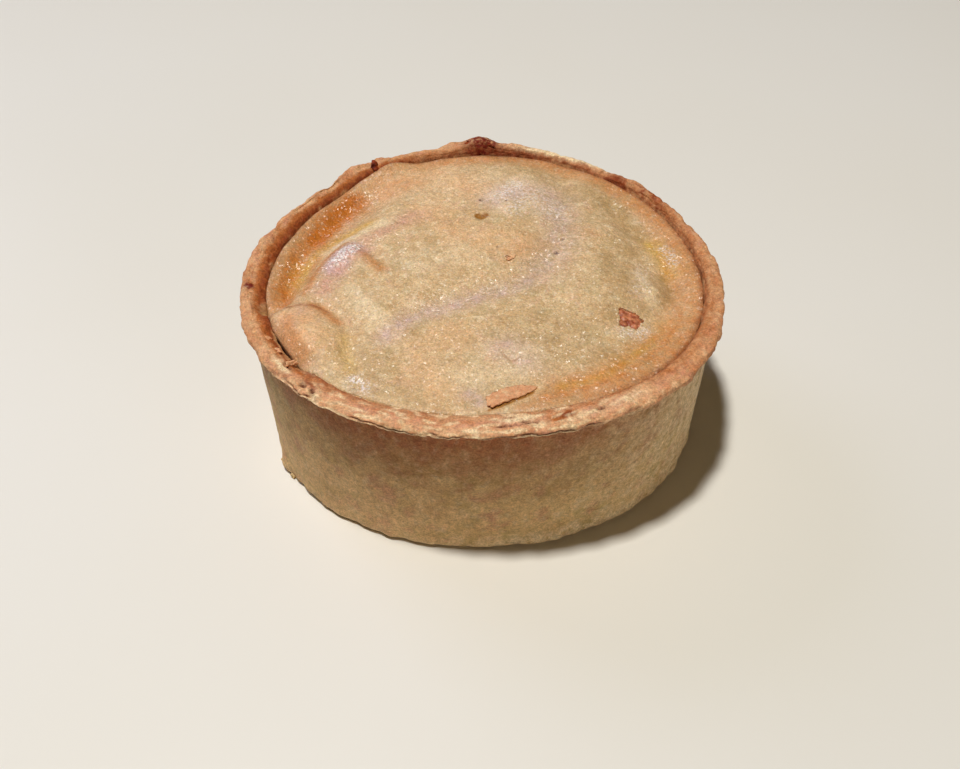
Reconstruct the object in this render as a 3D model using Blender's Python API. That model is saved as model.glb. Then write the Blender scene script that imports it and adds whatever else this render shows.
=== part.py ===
"""Scotch pie: a raised pastry case, the pastry lid sunk inside its rim, and the meat filling.

All dimensions are in metres, +Z is up, and the pie stands on z = 0 with its middle on the Z axis.
"""

import math

import bmesh
import bpy
from mathutils import Vector, noise

# Driving dimensions.
MM = 0.001
SEGMENTS = 128                # steps round the pie
RIM_RADIUS = 0.0482           # mean outer radius of the lip
RIM_HEIGHT = 0.0357           # mean height of the rim's crown
WALL_THICKNESS = 0.0036
FLOOR_THICKNESS = 0.0040
GAP = 0.0004                  # clearance between two pieces
LID_BOTTOM_EDGE = 0.0278      # height of the lid's underside at its edge
LID_BOTTOM_CENTRE = 0.0318    # height of the lid's underside at its middle
CORE_RADIUS = RIM_RADIUS - 0.0015 - WALL_THICKNESS
CENTRE_SHIFT = (0.0001, -0.0012, 0.0)   # brings the middle of the crags' bounds onto the Z axis

# Plan outline: (lobes, share of the radius, degrees at which a lobe points out).
RIM_WAVES = ((2, 0.0134, 17.8), (3, 0.0226, -30.7), (4, 0.0021, -11.0), (5, 0.0030, 30.5))
BASE_WAVES = ((2, 0.0040, 7.0), (3, 0.0278, -24.7))

# Crags of the rim: (degrees, width in degrees, rise, push outward).
CRAGS = (
    (91.0, 5.0, 1.3 * MM, 1.0 * MM),
    (99.0, 2.6, 0.3 * MM, 0.9 * MM),
    (130.0, 4.5, 0.5 * MM, 1.3 * MM),
    (121.0, 2.2, 0.3 * MM, 0.8 * MM),
    (139.0, 2.0, -0.5 * MM, -0.5 * MM),
    (-141.0, 3.0, -0.5 * MM, 0.2 * MM),
    (-88.0, 7.0, 0.2 * MM, 0.5 * MM),
    (-15.0, 5.0, -0.4 * MM, -0.2 * MM),
)

# Relief of the lid: (x, y, length, width, degrees, rise), each a smooth bump or dent.
LID_BUMPS = (
    (-29.0 * MM, 4.0 * MM, 8.0 * MM, 3.4 * MM, 60.0, 0.9 * MM),
    (-35.0 * MM, -20.6 * MM, 8.0 * MM, 5.6 * MM, -54.0, 1.9 * MM),
    (-23.5 * MM, 5.4 * MM, 4.6 * MM, 1.7 * MM, -48.0, -0.9 * MM),
    (-30.5 * MM, -12.2 * MM, 3.8 * MM, 1.7 * MM, -30.0, -1.1 * MM),
    (-26.6 * MM, -17.4 * MM, 4.0 * MM, 1.7 * MM, -60.0, -1.0 * MM),
    (-25.8 * MM, -24.0 * MM, 5.0 * MM, 2.0 * MM, -80.0, -0.9 * MM),
    (-16.0 * MM, -27.5 * MM, 7.0 * MM, 2.4 * MM, -65.0, -0.5 * MM),
    (-20.5 * MM, -13.0 * MM, 7.0 * MM, 3.2 * MM, -50.0, 0.5 * MM),
    (33.0 * MM, 18.5 * MM, 7.0 * MM, 4.0 * MM, -55.0, -0.8 * MM),
    (28.0 * MM, 5.5 * MM, 6.0 * MM, 3.6 * MM, -70.0, -0.8 * MM),
    (34.5 * MM, -4.0 * MM, 4.2 * MM, 3.0 * MM, 70.0, 0.8 * MM),
    (38.6 * MM, -1.8 * MM, 5.0 * MM, 2.2 * MM, 88.0, -0.9 * MM),
    (24.0 * MM, -14.0 * MM, 9.0 * MM, 6.0 * MM, 35.0, -0.4 * MM),
    (-2.0 * MM, 8.0 * MM, 14.0 * MM, 9.0 * MM, 30.0, 0.5 * MM),
    (4.5 * MM, 28.0 * MM, 9.0 * MM, 5.0 * MM, 85.0, 0.4 * MM),
    (5.0 * MM, -27.0 * MM, 8.0 * MM, 5.0 * MM, 0.0, 0.4 * MM),
)
VALLEY = ((-19.0, -20.0), (-8.0, -11.3), (4.9, -4.6), (11.9, 1.1), (15.8, 13.0), (17.8, 26.0), (17.9, 38.0))
VALLEY_DEPTH = 0.8 * MM
VALLEY_WIDTH = 3.6 * MM
TROUGH_DEPTH = 3.3 * MM

TEAR = ((26.8, -11.6), (28.0, -11.2), (29.0, -12.7), (30.2, -13.5), (31.3, -15.6), (30.6, -16.9),
        (29.7, -17.2), (28.9, -16.2), (27.3, -15.9), (26.8, -14.8), (26.6, -13.2))
TEAR_MIDDLE = (28.8 * MM, -14.3 * MM)
VENT = ((-1.8, 18.8), (-0.7, 19.4), (0.6, 19.0), (0.4, 17.9), (-0.4, 17.4), (-1.3, 17.9))
VENT_DEPTH = 1.4 * MM
FLAKE = ((0.9, -39.0), (1.3, -37.8), (2.7, -36.2), (4.9, -35.2), (7.1, -34.4), (9.8, -34.1),
         (9.2, -35.4), (7.9, -36.4), (6.3, -37.2), (4.1, -38.4), (1.9, -39.5))


def degrees_from(angle, centre):
    """Degrees between an angle in radians and a direction in degrees, from -180 to 180."""
    return (math.degrees(angle) - centre + 180.0) % 360.0 - 180.0


def hump(angle, centre, width):
    """A smooth bump of height 1 round the direction centre, both in degrees."""
    return math.exp(-((degrees_from(angle, centre) / width) ** 2))


def smooth(value, low, high):
    """0 below low, 1 above high and an S-curve between them."""
    share = min(max((value - low) / (high - low), 0.0), 1.0)
    return share * share * (3.0 - 2.0 * share)


def outline(angle, height):
    """Plan radius at this angle and height, as a share of the mean radius there."""
    rim = sum(share * math.cos(k * math.radians(degrees_from(angle, peak))) for k, share, peak in RIM_WAVES)
    base = sum(share * math.cos(k * math.radians(degrees_from(angle, peak))) for k, share, peak in BASE_WAVES)
    lift = smooth(height, 0.0, RIM_HEIGHT) * 0.5 + 0.5 * min(max(height / RIM_HEIGHT, 0.0), 1.0)
    return 1.0 + base + (rim - base) * lift


def seam_radius(angle):
    """Mean radius at which the lid meets the rim: the rim is thin at the back right."""
    radius = 44.2 + 1.5 * math.cos(angle - math.radians(65.0)) + 0.4 * math.sin(2.0 * angle)
    return (radius + 0.9 * hump(angle, 133.0, 25.0)) * MM


def bevel_width(angle):
    """Width of the rim's inner slope, which is broad at the left only."""
    left = smooth(-abs(degrees_from(angle, 172.0)), -62.0, -34.0)
    return (0.8 + 1.7 * left) * MM


def curve_through(points, steps=5):
    """A smooth path through points in millimetres, in metres."""
    padded = [points[0], *points, points[-1]]
    path = []
    for index in range(len(points) - 1):
        p, q, r, s = (Vector(point) * MM for point in padded[index:index + 4])
        for step in range(steps):
            t = step / steps
            path.append(0.5 * (2.0 * q + (r - p) * t + (2.0 * p - 5.0 * q + 4.0 * r - s) * t ** 2
                               + (3.0 * q - p - 3.0 * r + s) * t ** 3))
    path.append(Vector(points[-1]) * MM)
    return path


VALLEY_PATH = curve_through(VALLEY)


def path_distance(x, y, path):
    """Distance in plan from (x, y) to a path, and the share of the path passed there."""
    best, along, place = 1.0, 0.0, Vector((x, y))
    for index in range(len(path) - 1):
        start, run = path[index], path[index + 1] - path[index]
        share = min(max((place - start).dot(run) / run.dot(run), 0.0), 1.0)
        distance = (place - start - run * share).length
        if distance < best:
            best, along = distance, (index + share) / (len(path) - 1)
    return best, along


def oval(x, y, cx, cy, length, width, turn):
    """Squared distance from an oval's middle, 1 on its half-length and half-width."""
    c, s = math.cos(math.radians(turn)), math.sin(math.radians(turn))
    u, v = (x - cx) * c + (y - cy) * s, (y - cy) * c - (x - cx) * s
    return (u / length) ** 2 + (v / width) ** 2


def trough(x, y):
    """Depth of the crescent trough between the left rim and the lid's fold."""
    radius, angle = math.hypot(x, y), math.atan2(y, x)
    turn = degrees_from(angle, 150.0)
    edge = (31.6 + 0.0044 * turn * turn) * MM
    window = smooth(turn, -36.0, -10.0) * (1.0 - smooth(turn, 45.0, 50.5))
    steep = (1.5 - 0.55 * smooth(turn, 5.0, 40.0)) * MM
    side = 1.0 / (1.0 + math.exp(min((edge - radius) / steep, 60.0)))
    return TROUGH_DEPTH * window * side


def lid_relief(x, y):
    """Height of the lid's top over the rim's mean crown."""
    radius, angle = math.hypot(x, y), math.atan2(y, x)
    share = radius / (outline(angle, RIM_HEIGHT) * seam_radius(angle))
    back = smooth(y, 15.0 * MM, 44.0 * MM)
    height = (0.6 - 1.3 * share ** 4 - 0.7 * back) * MM
    height -= trough(x, y)
    right = smooth(-abs(degrees_from(angle, 2.0)), -58.0, -18.0)
    height -= 2.1 * MM * right * math.exp(-(((share - 0.82) / 0.12) ** 2))
    height -= 0.5 * MM * right * smooth(share, 0.6, 0.95)
    left = smooth(-abs(degrees_from(angle, 155.0)), -46.0, -34.0)
    height += 2.7 * MM * left * smooth(share, 0.88, 1.0)
    for cx, cy, length, width, turn, rise in LID_BUMPS:
        height += rise * math.exp(-oval(x, y, cx, cy, length, width, turn))
    distance, along = path_distance(x, y, VALLEY_PATH)
    height -= VALLEY_DEPTH * math.exp(-((distance / VALLEY_WIDTH) ** 2)) * smooth(along, -0.1, 0.15)
    front = smooth(-abs(degrees_from(angle, -90.0)), -50.0, -30.0)
    height += 0.45 * MM * front * smooth(share, 0.85, 1.0)
    gap = smooth(-abs(degrees_from(angle, -147.0)), -13.0, -5.0)
    height -= 2.4 * MM * gap * smooth(share, 0.91, 1.0)
    return height


def ragged(angle, detail, seed):
    """Uneven waves round the pie, about -0.5 to 0.5: more detail gives shorter waves."""
    return noise.noise(Vector((math.cos(angle) * detail, math.sin(angle) * detail, seed)))


def rim_crown(angle):
    """Height of the rim's crown, with its waves and crags."""
    height = RIM_HEIGHT + 0.45 * MM * ragged(angle, 3.0, 1.0) + 0.45 * MM * ragged(angle, 9.0, 4.0)
    return height + sum(rise * hump(angle, at, wide) for at, wide, rise, _ in CRAGS)


def rim_push(angle):
    """Push outward of the lip, with its raggedness and crags."""
    push = 0.35 * MM * ragged(angle, 4.0, 7.0) + 0.45 * MM * ragged(angle, 10.0, 9.0)
    return push + sum(out * hump(angle, at, wide) for at, wide, _, out in CRAGS)


def lip_edge(angle):
    """Height of the lip's lower edge: ragged, and lowest at the front."""
    front = smooth(-abs(degrees_from(angle, -105.0)), -70.0, -20.0)
    torn = ragged(angle, 5.0, 13.0) + ragged(angle, 11.0, 17.0)
    return RIM_HEIGHT - (1.6 - 0.6 * front + 0.4 * torn) * MM


def wall_radius(height):
    """Mean radius of the case's wall below the lip, with its rounded foot."""
    foot = max(1.0 - height / (1.5 * MM), 0.0)
    return (45.75 + 0.85 * smooth(height, 0.0, 30.0 * MM) - 0.9 * foot * foot) * MM


def case_section(angle):
    """The case's section at one angle, from the middle of its foot over the rim to its floor."""
    crown, push, edge = rim_crown(angle), rim_push(angle), lip_edge(angle)
    seam, bevel = seam_radius(angle), bevel_width(angle)
    around = outline(angle, RIM_HEIGHT)
    x, y = around * seam * math.cos(angle), around * seam * math.sin(angle)
    shelf = RIM_HEIGHT + lid_relief(x, y) + 0.1 * MM
    shelf = min(shelf, crown - 0.4 * MM)
    crumb = 1.0 * MM * hump(angle, -151.0, 3.6)
    low_push = crumb + 0.5 * MM * ragged(angle, 5.0, 21.0)
    points = []
    for height in (0.0, 0.45 * MM, 1.5 * MM, 4.0 * MM, 10.0 * MM, 17.0 * MM, 24.0 * MM, 30.0 * MM):
        swell = low_push * smooth(-height, -7.0 * MM, -0.5 * MM)
        points.append((wall_radius(height) * outline(angle, height) + swell, height))
    points.append(((RIM_RADIUS - 1.35 * MM) * around + 0.3 * push, edge - 0.7 * MM))
    points.append(((RIM_RADIUS - 0.45 * MM) * around + push, edge))
    points.append(((RIM_RADIUS + 0.1 * MM) * around + push, edge + 0.35 * MM))
    points.append((RIM_RADIUS * around + push, crown - 0.3 * MM))
    points.append(((RIM_RADIUS - 0.55 * MM) * around + 0.7 * push, crown))
    inner = seam + bevel
    middle = max(0.5 * (inner + RIM_RADIUS - 0.75 * MM), inner + 0.2 * MM)
    points.append((middle * around + 0.3 * push, crown))
    points.append((inner * around, crown - 0.15 * MM))
    points.append(((seam + 0.45 * bevel) * around, shelf + 0.5 * (crown - shelf)))
    points.append((seam * around, shelf))
    points.append(((0.5 * seam + 0.5 * CORE_RADIUS) * outline(angle, 31.0 * MM), 0.5 * (shelf + LID_BOTTOM_EDGE)))
    for height in (LID_BOTTOM_EDGE, 16.0 * MM, FLOOR_THICKNESS + 1.6 * MM):
        points.append((CORE_RADIUS * outline(angle, height), height))
    points.append(((CORE_RADIUS - 1.6 * MM) * outline(angle, FLOOR_THICKNESS), FLOOR_THICKNESS))
    return points


def lid_bottom(share):
    """Height of the lid's underside at a share of the core's radius: a low dome."""
    return LID_BOTTOM_CENTRE - (LID_BOTTOM_CENTRE - LID_BOTTOM_EDGE) * share * share


def lid_ring(share):
    """A ring of the lid's top, at a share of the way out to the seam."""
    def at(angle):
        radius = (seam_radius(angle) - GAP) * outline(angle, RIM_HEIGHT) * share
        x, y = radius * math.cos(angle), radius * math.sin(angle)
        return (x, y, RIM_HEIGHT + lid_relief(x, y))
    return at


def lid_side(share):
    """A ring of the lid's edge, from its rounded top (0) to its underside (1)."""
    def at(angle):
        x, y, top = lid_ring(1.0)(angle)
        low = (CORE_RADIUS - GAP) * outline(angle, 31.0 * MM) / math.hypot(x, y)
        scale = 1.0 + (low - 1.0) * share
        return (x * scale, y * scale, top - 0.45 * MM + (LID_BOTTOM_EDGE + 0.45 * MM - top) * share)
    return at


def dome_ring(share, drop):
    """A ring of the lid's underside, or of the filling's top, at a share of the core's radius."""
    def at(angle):
        radius = (CORE_RADIUS - GAP) * outline(angle, 31.0 * MM) * share
        return (radius * math.cos(angle), radius * math.sin(angle), lid_bottom(share) - drop)
    return at


def level_ring(radius, height):
    """A ring of the filling at one height."""
    def at(angle):
        around = radius * outline(angle, height)
        return (around * math.cos(angle), around * math.sin(angle), height)
    return at


def add_ring(mesh, at, count):
    """Vertices of one ring of a solid, at(angle) giving each place."""
    return [mesh.verts.new(at(2.0 * math.pi * index / count)) for index in range(count)]


def bridge(mesh, first, second):
    """Faces between two rings, of which one may have half as many vertices as the other."""
    if len(first) == len(second):
        count = len(first)
        for index in range(count):
            after = (index + 1) % count
            mesh.faces.new((first[index], first[after], second[after], second[index]))
        return
    fine, coarse, flipped = (first, second, False) if len(first) > len(second) else (second, first, True)
    for index in range(len(coarse)):
        a, b, c = fine[2 * index], fine[2 * index + 1], fine[(2 * index + 2) % len(fine)]
        p, q = coarse[index], coarse[(index + 1) % len(coarse)]
        for face in ((a, b, p), (b, q, p), (b, c, q)):
            mesh.faces.new(face[::-1] if flipped else face)


def close_ring(mesh, ring, middle, flipped=False):
    """A fan from a ring to a point in its middle."""
    centre = mesh.verts.new(middle)
    for index, vertex in enumerate(ring):
        face = (vertex, ring[(index + 1) % len(ring)], centre)
        mesh.faces.new(face[::-1] if flipped else face)


def stacked_solid(rings, bottom, top):
    """A closed mesh of rings from the middle of the foot to the middle of the top."""
    mesh = bmesh.new()
    made = [add_ring(mesh, at, count) for at, count in rings]
    close_ring(mesh, made[0], bottom, flipped=True)
    for low, high in zip(made, made[1:]):
        bridge(mesh, low, high)
    close_ring(mesh, made[-1], top)
    bmesh.ops.recalc_face_normals(mesh, faces=mesh.faces[:])
    return mesh


def case_mesh():
    """The pastry case: foot, wall, lip, rim and the floor inside, in one closed skin."""
    mesh = bmesh.new()
    sections = [case_section(2.0 * math.pi * index / SEGMENTS) for index in range(SEGMENTS)]
    rings = []
    for level in range(len(sections[0])):
        def at(angle, level=level):
            radius, height = sections[round(angle * SEGMENTS / (2.0 * math.pi)) % SEGMENTS][level]
            return (radius * math.cos(angle), radius * math.sin(angle), height)
        rings.append((at, SEGMENTS))
    made = [add_ring(mesh, level_ring(20.0 * MM, 0.0), SEGMENTS // 2)]
    made += [add_ring(mesh, at, count) for at, count in rings]
    made.append(add_ring(mesh, level_ring(20.0 * MM, FLOOR_THICKNESS), SEGMENTS // 2))
    close_ring(mesh, made[0], (0.0, 0.0, 0.0), flipped=True)
    for low, high in zip(made, made[1:]):
        bridge(mesh, low, high)
    close_ring(mesh, made[-1], (0.0, 0.0, FLOOR_THICKNESS))
    bmesh.ops.recalc_face_normals(mesh, faces=mesh.faces[:])
    return mesh


def lid_mesh():
    """The pastry lid: its relief on top, a plain low dome underneath."""
    full, half, quarter = SEGMENTS, SEGMENTS // 2, SEGMENTS // 4
    rings = [(dome_ring(0.35, 0.0), quarter), (dome_ring(0.75, 0.0), half), (dome_ring(1.0, 0.0), full)]
    rings += [(lid_side(share), full) for share in (0.5, 0.0)]
    rings += [(lid_ring(share), full) for share in (0.992, 0.955, 0.915, 0.875, 0.835, 0.79, 0.745, 0.70,
                                                    0.65, 0.595, 0.54, 0.48)]
    rings += [(lid_ring(share), half) for share in (0.41, 0.335, 0.26)]
    rings += [(lid_ring(share), quarter) for share in (0.18, 0.09)]
    middle = RIM_HEIGHT + lid_relief(0.0, 0.0)
    return stacked_solid(rings, (0.0, 0.0, LID_BOTTOM_CENTRE), (0.0, 0.0, middle))


def filling_mesh():
    """The meat filling: a plain solid that fills the case under the lid."""
    floor = FLOOR_THICKNESS + GAP
    half, quarter = SEGMENTS // 2, SEGMENTS // 4
    rings = [(level_ring(20.0 * MM, floor), quarter), (level_ring(CORE_RADIUS - 2.0 * MM, floor), half)]
    rings += [(level_ring(CORE_RADIUS - GAP, height), half)
              for height in (floor + 1.6 * MM, 16.0 * MM, LID_BOTTOM_EDGE - GAP)]
    rings += [(dome_ring(0.75, GAP), half), (dome_ring(0.35, GAP), quarter)]
    return stacked_solid(rings, (0.0, 0.0, floor), (0.0, 0.0, LID_BOTTOM_CENTRE - GAP))


def prism_mesh(outline_mm, middle, scale, low, high):
    """A closed prism over a small outline: low and high give its heights at (x, y)."""
    mesh = bmesh.new()
    places = [(middle[0] + (x * MM - middle[0]) * scale, middle[1] + (y * MM - middle[1]) * scale)
              for x, y in outline_mm]
    foot = [mesh.verts.new((x, y, low(x, y))) for x, y in places]
    head = [mesh.verts.new((x, y, high(x, y))) for x, y in places]
    close_ring(mesh, foot, (*middle, low(*middle)), flipped=True)
    bridge(mesh, foot, head)
    close_ring(mesh, head, (*middle, high(*middle)))
    bmesh.ops.recalc_face_normals(mesh, faces=mesh.faces[:])
    return mesh


def top_of_lid(x, y):
    """Height of the lid's top at (x, y)."""
    return RIM_HEIGHT + lid_relief(x, y)


def flake_top(x, y):
    """Height of the raised flake: its front edge stands clear of the lid."""
    front = Vector((0.45, -0.89)).dot(Vector((x - 5.2 * MM, y + 36.8 * MM)))
    return top_of_lid(x, y) + 0.55 * MM + 0.5 * MM * smooth(front, -1.6 * MM, 1.2 * MM)


def centre_of(outline_mm):
    """Middle of a small outline, in metres."""
    count = len(outline_mm)
    return (sum(x for x, _ in outline_mm) / count * MM, sum(y for _, y in outline_mm) / count * MM)


def make_material(name, colour, roughness):
    """A Principled material for one piece."""
    material = bpy.data.materials.new(name)
    material.use_nodes = True
    shader = material.node_tree.nodes["Principled BSDF"]
    shader.inputs["Base Color"].default_value = (*colour, 1.0)
    shader.inputs["Roughness"].default_value = roughness
    return material


def add_object(name, mesh, collection, material=None):
    """An object for a finished bmesh, shaded smooth."""
    data = bpy.data.meshes.new(name)
    bmesh.ops.translate(mesh, vec=CENTRE_SHIFT, verts=mesh.verts[:])
    for face in mesh.faces:
        face.smooth = True
    mesh.to_mesh(data)
    mesh.free()
    if material:
        data.materials.append(material)
    made = bpy.data.objects.new(name, data)
    collection.objects.link(made)
    return made


def add_helper(name, mesh, collection):
    """A solid that only cuts or joins another one."""
    made = add_object(name, mesh, collection)
    made.hide_render = True
    made.display_type = "WIRE"
    return made


def combine(target, helper, operation):
    """A live Boolean of a helper on a piece."""
    modifier = target.modifiers.new(helper.name, "BOOLEAN")
    modifier.operation = operation
    modifier.solver = "EXACT"
    modifier.object = helper


def build():
    """Build the pie's three pieces and their helpers."""
    for old in list(bpy.data.objects):
        bpy.data.objects.remove(old, do_unlink=True)
    scene = bpy.context.scene
    scene.unit_settings.system = "METRIC"
    pie = bpy.data.collections.new("Scotch pie")
    helpers = bpy.data.collections.new("Cutters and joins")
    scene.collection.children.link(pie)
    scene.collection.children.link(helpers)
    helpers.hide_render = True

    crust = make_material("Baked case pastry", (0.42, 0.27, 0.13), 0.7)
    lid_crust = make_material("Baked lid pastry", (0.60, 0.42, 0.22), 0.55)
    meat = make_material("Cooked minced meat", (0.25, 0.11, 0.06), 0.6)

    add_object("pastry_case", case_mesh(), pie, crust)
    lid = add_object("pastry_lid", lid_mesh(), pie, lid_crust)
    filling = add_object("meat_filling", filling_mesh(), pie, meat)

    tear = prism_mesh(TEAR, TEAR_MIDDLE, 1.0, lambda x, y: 26.0 * MM, lambda x, y: 38.0 * MM)
    vent = prism_mesh(VENT, centre_of(VENT), 1.0,
                      lambda x, y: top_of_lid(x, y) - VENT_DEPTH, lambda x, y: 38.0 * MM)
    flake = prism_mesh(FLAKE, centre_of(FLAKE), 1.0, lambda x, y: top_of_lid(x, y) - 1.0 * MM, flake_top)
    meat_in_tear = prism_mesh(TEAR, TEAR_MIDDLE, 0.80, lambda x, y: 24.0 * MM,
                              lambda x, y: top_of_lid(x, y) - 1.2 * MM)
    combine(lid, add_helper("tear_cutter", tear, helpers), "DIFFERENCE")
    combine(lid, add_helper("vent_cutter", vent, helpers), "DIFFERENCE")
    combine(lid, add_helper("lid_flake", flake, helpers), "UNION")
    combine(filling, add_helper("meat_in_tear", meat_in_tear, helpers), "UNION")


build()
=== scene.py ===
"""Scotch pie, finished: a raised hot-water-crust case, a greasy lid sunk in its rim, mince in the tear.

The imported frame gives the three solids. Each is stood for here by a fine skin of the same shape, and the
small loose things of a baked pie lie on them: burnt crags, beads of juice, flakes and crumbs of pastry.
"""

import logging
import math
from dataclasses import dataclass
from enum import Enum
from typing import Sequence

import bmesh
import bpy
import numpy as np
from mathutils import Matrix, Vector, noise

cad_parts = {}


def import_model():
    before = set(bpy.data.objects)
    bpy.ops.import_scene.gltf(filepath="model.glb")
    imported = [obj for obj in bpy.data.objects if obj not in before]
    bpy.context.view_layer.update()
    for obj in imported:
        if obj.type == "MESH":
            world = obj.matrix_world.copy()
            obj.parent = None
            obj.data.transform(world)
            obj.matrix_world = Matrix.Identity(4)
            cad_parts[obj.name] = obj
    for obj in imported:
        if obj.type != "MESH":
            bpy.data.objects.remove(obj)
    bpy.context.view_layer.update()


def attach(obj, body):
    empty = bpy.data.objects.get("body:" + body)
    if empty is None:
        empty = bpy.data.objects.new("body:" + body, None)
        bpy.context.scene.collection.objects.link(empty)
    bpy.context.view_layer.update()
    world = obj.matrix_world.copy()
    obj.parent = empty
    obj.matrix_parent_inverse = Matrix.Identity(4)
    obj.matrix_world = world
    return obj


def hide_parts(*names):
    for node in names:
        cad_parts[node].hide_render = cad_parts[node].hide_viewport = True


MM = 0.001
LOG = logging.getLogger("scotch_pie")
Array = np.ndarray
Path = Sequence[tuple[float, float]]


# ---------------------------------------------------------------- small tools


def linear(hex_colour: str) -> tuple[float, float, float, float]:
    """Turn an sRGB hex colour to linear light.

    Args:
        hex_colour: A colour such as "#d2ae84".

    Returns:
        Linear red, green, blue and an alpha of 1.
    """
    parts = [int(hex_colour[place:place + 2], 16) / 255.0 for place in (1, 3, 5)]
    red, green, blue = (p / 12.92 if p <= 0.04045 else ((p + 0.055) / 1.055) ** 2.4 for p in parts)
    return (red, green, blue, 1.0)


def smooth(value: Array | float, low: float, high: float) -> Array:
    """Give 0 below low, 1 above high and an S-curve between them."""
    share = np.clip((np.asarray(value, float) - low) / (high - low), 0.0, 1.0)
    return share * share * (3.0 - 2.0 * share)


def degrees_from(angle: Array, centre: float) -> Array:
    """Give the degrees between angles in radians and a direction in degrees, from -180 to 180."""
    return (np.degrees(angle) - centre + 180.0) % 360.0 - 180.0


def hump(angle: Array, centre: float, width: float) -> Array:
    """Give a smooth bump of height 1 round a direction, both in degrees."""
    return np.exp(-((degrees_from(angle, centre) / width) ** 2))


def arc(angle: Array, centre: float, far: float, near: float) -> Array:
    """Give 1 within near degrees of a direction and 0 beyond far degrees, with an S-curve between."""
    return smooth(-abs(degrees_from(angle, centre)), -far, -near)


def ragged(angle: Array, detail: float, seed: float) -> Array:
    """Give uneven waves round the pie, about -0.5 to 0.5.

    Args:
        angle: Angles in radians.
        detail: More of it gives shorter waves.
        seed: Picks another set of waves.

    Returns:
        One value for each angle.
    """
    flat = np.ravel(angle)
    values = [noise.noise(Vector((math.cos(a) * detail, math.sin(a) * detail, seed))) for a in flat]
    return np.reshape(values, np.shape(angle))


def lumps(points: Array, size: float, seed: float, octaves: int = 1) -> Array:
    """Give smooth random lumps in space, about -1 to 1.

    Args:
        points: Places in metres, with x, y, z in the last axis.
        size: Breadth of a lump in metres.
        seed: Picks another set of lumps.
        octaves: How many finer layers are added.

    Returns:
        One value for each place.
    """
    flat = np.reshape(points, (-1, 3)) / size + np.array([seed * 3.7, seed * 1.3, seed * 7.1])
    if octaves == 1:
        values = [noise.noise(place) for place in flat.tolist()]
    else:
        values = [noise.fractal(place, 0.8, 2.1, octaves) for place in flat.tolist()]
    return np.reshape(values, np.shape(points)[:-1])


def curve_through(points: Path, steps: int = 5) -> Array:
    """Give a smooth path through points in millimetres, in metres.

    Args:
        points: The points, in millimetres.
        steps: Steps from each point to the next.

    Returns:
        The path's places in metres.
    """
    padded = np.array([points[0], *points, points[-1]], float) * MM
    path = []
    for index in range(len(points) - 1):
        p, q, r, s = padded[index:index + 4]
        for step in range(steps):
            t = step / steps
            path.append(0.5 * (2.0 * q + (r - p) * t + (2.0 * p - 5.0 * q + 4.0 * r - s) * t ** 2
                               + (3.0 * q - p - 3.0 * r + s) * t ** 3))
    path.append(padded[-1])
    return np.array(path)


def path_distance(x: Array, y: Array, path: Array) -> tuple[Array, Array]:
    """Measure in plan from places to a path.

    Args:
        x: Places' x in metres.
        y: Places' y in metres.
        path: The path's points in metres.

    Returns:
        The distance from each place, and the share of the path passed there.
    """
    best, along = np.full(np.shape(x), 1.0), np.zeros(np.shape(x))
    for index in range(len(path) - 1):
        ax, ay = path[index]
        bx, by = path[index + 1] - path[index]
        share = np.clip(((x - ax) * bx + (y - ay) * by) / (bx * bx + by * by + 1e-18), 0.0, 1.0)
        distance = np.hypot(x - ax - share * bx, y - ay - share * by)
        nearer = distance < best
        best = np.where(nearer, distance, best)
        along = np.where(nearer, (index + share) / (len(path) - 1), along)
    return best, along


def oval(x: Array, y: Array, cx: float, cy: float, length: float, width: float, turn: float) -> Array:
    """Give the squared distance from an oval's middle, 1 on its half-length and half-width.

    Args:
        x: Places' x.
        y: Places' y.
        cx: The middle's x.
        cy: The middle's y.
        length: Half the oval's length.
        width: Half its width.
        turn: How far it is turned, in degrees.

    Returns:
        The squared distance of each place, as a share of the oval's size.
    """
    c, s = math.cos(math.radians(turn)), math.sin(math.radians(turn))
    u, v = (x - cx) * c + (y - cy) * s, (y - cy) * c - (x - cx) * s
    return (u / length) ** 2 + (v / width) ** 2


class Slot(Enum):
    """The record's material slots."""

    CASE = "case_pastry"
    LID = "lid_pastry"
    MEAT = "minced_meat"


@dataclass(frozen=True)
class Stroke:
    """A soft stroke over the lid, in millimetres: where its mask is strong."""

    path: Path
    width: float
    strength: float = 1.0

    def over(self, x: Array, y: Array) -> Array:
        """Give the stroke's strength at each place.

        Args:
            x: Places' x in metres.
            y: Places' y in metres.

        Returns:
            Its strength, which fades off beyond its half-width.
        """
        if len(self.path) == 1:
            cx, cy = self.path[0]
            distance = np.hypot(x - cx * MM, y - cy * MM)
        else:
            distance, _ = path_distance(x, y, curve_through(self.path, 3))
        return self.strength * np.exp(-((distance / (self.width * MM)) ** 2))


# ---------------------------------------------------------------- shape of the pie


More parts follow.
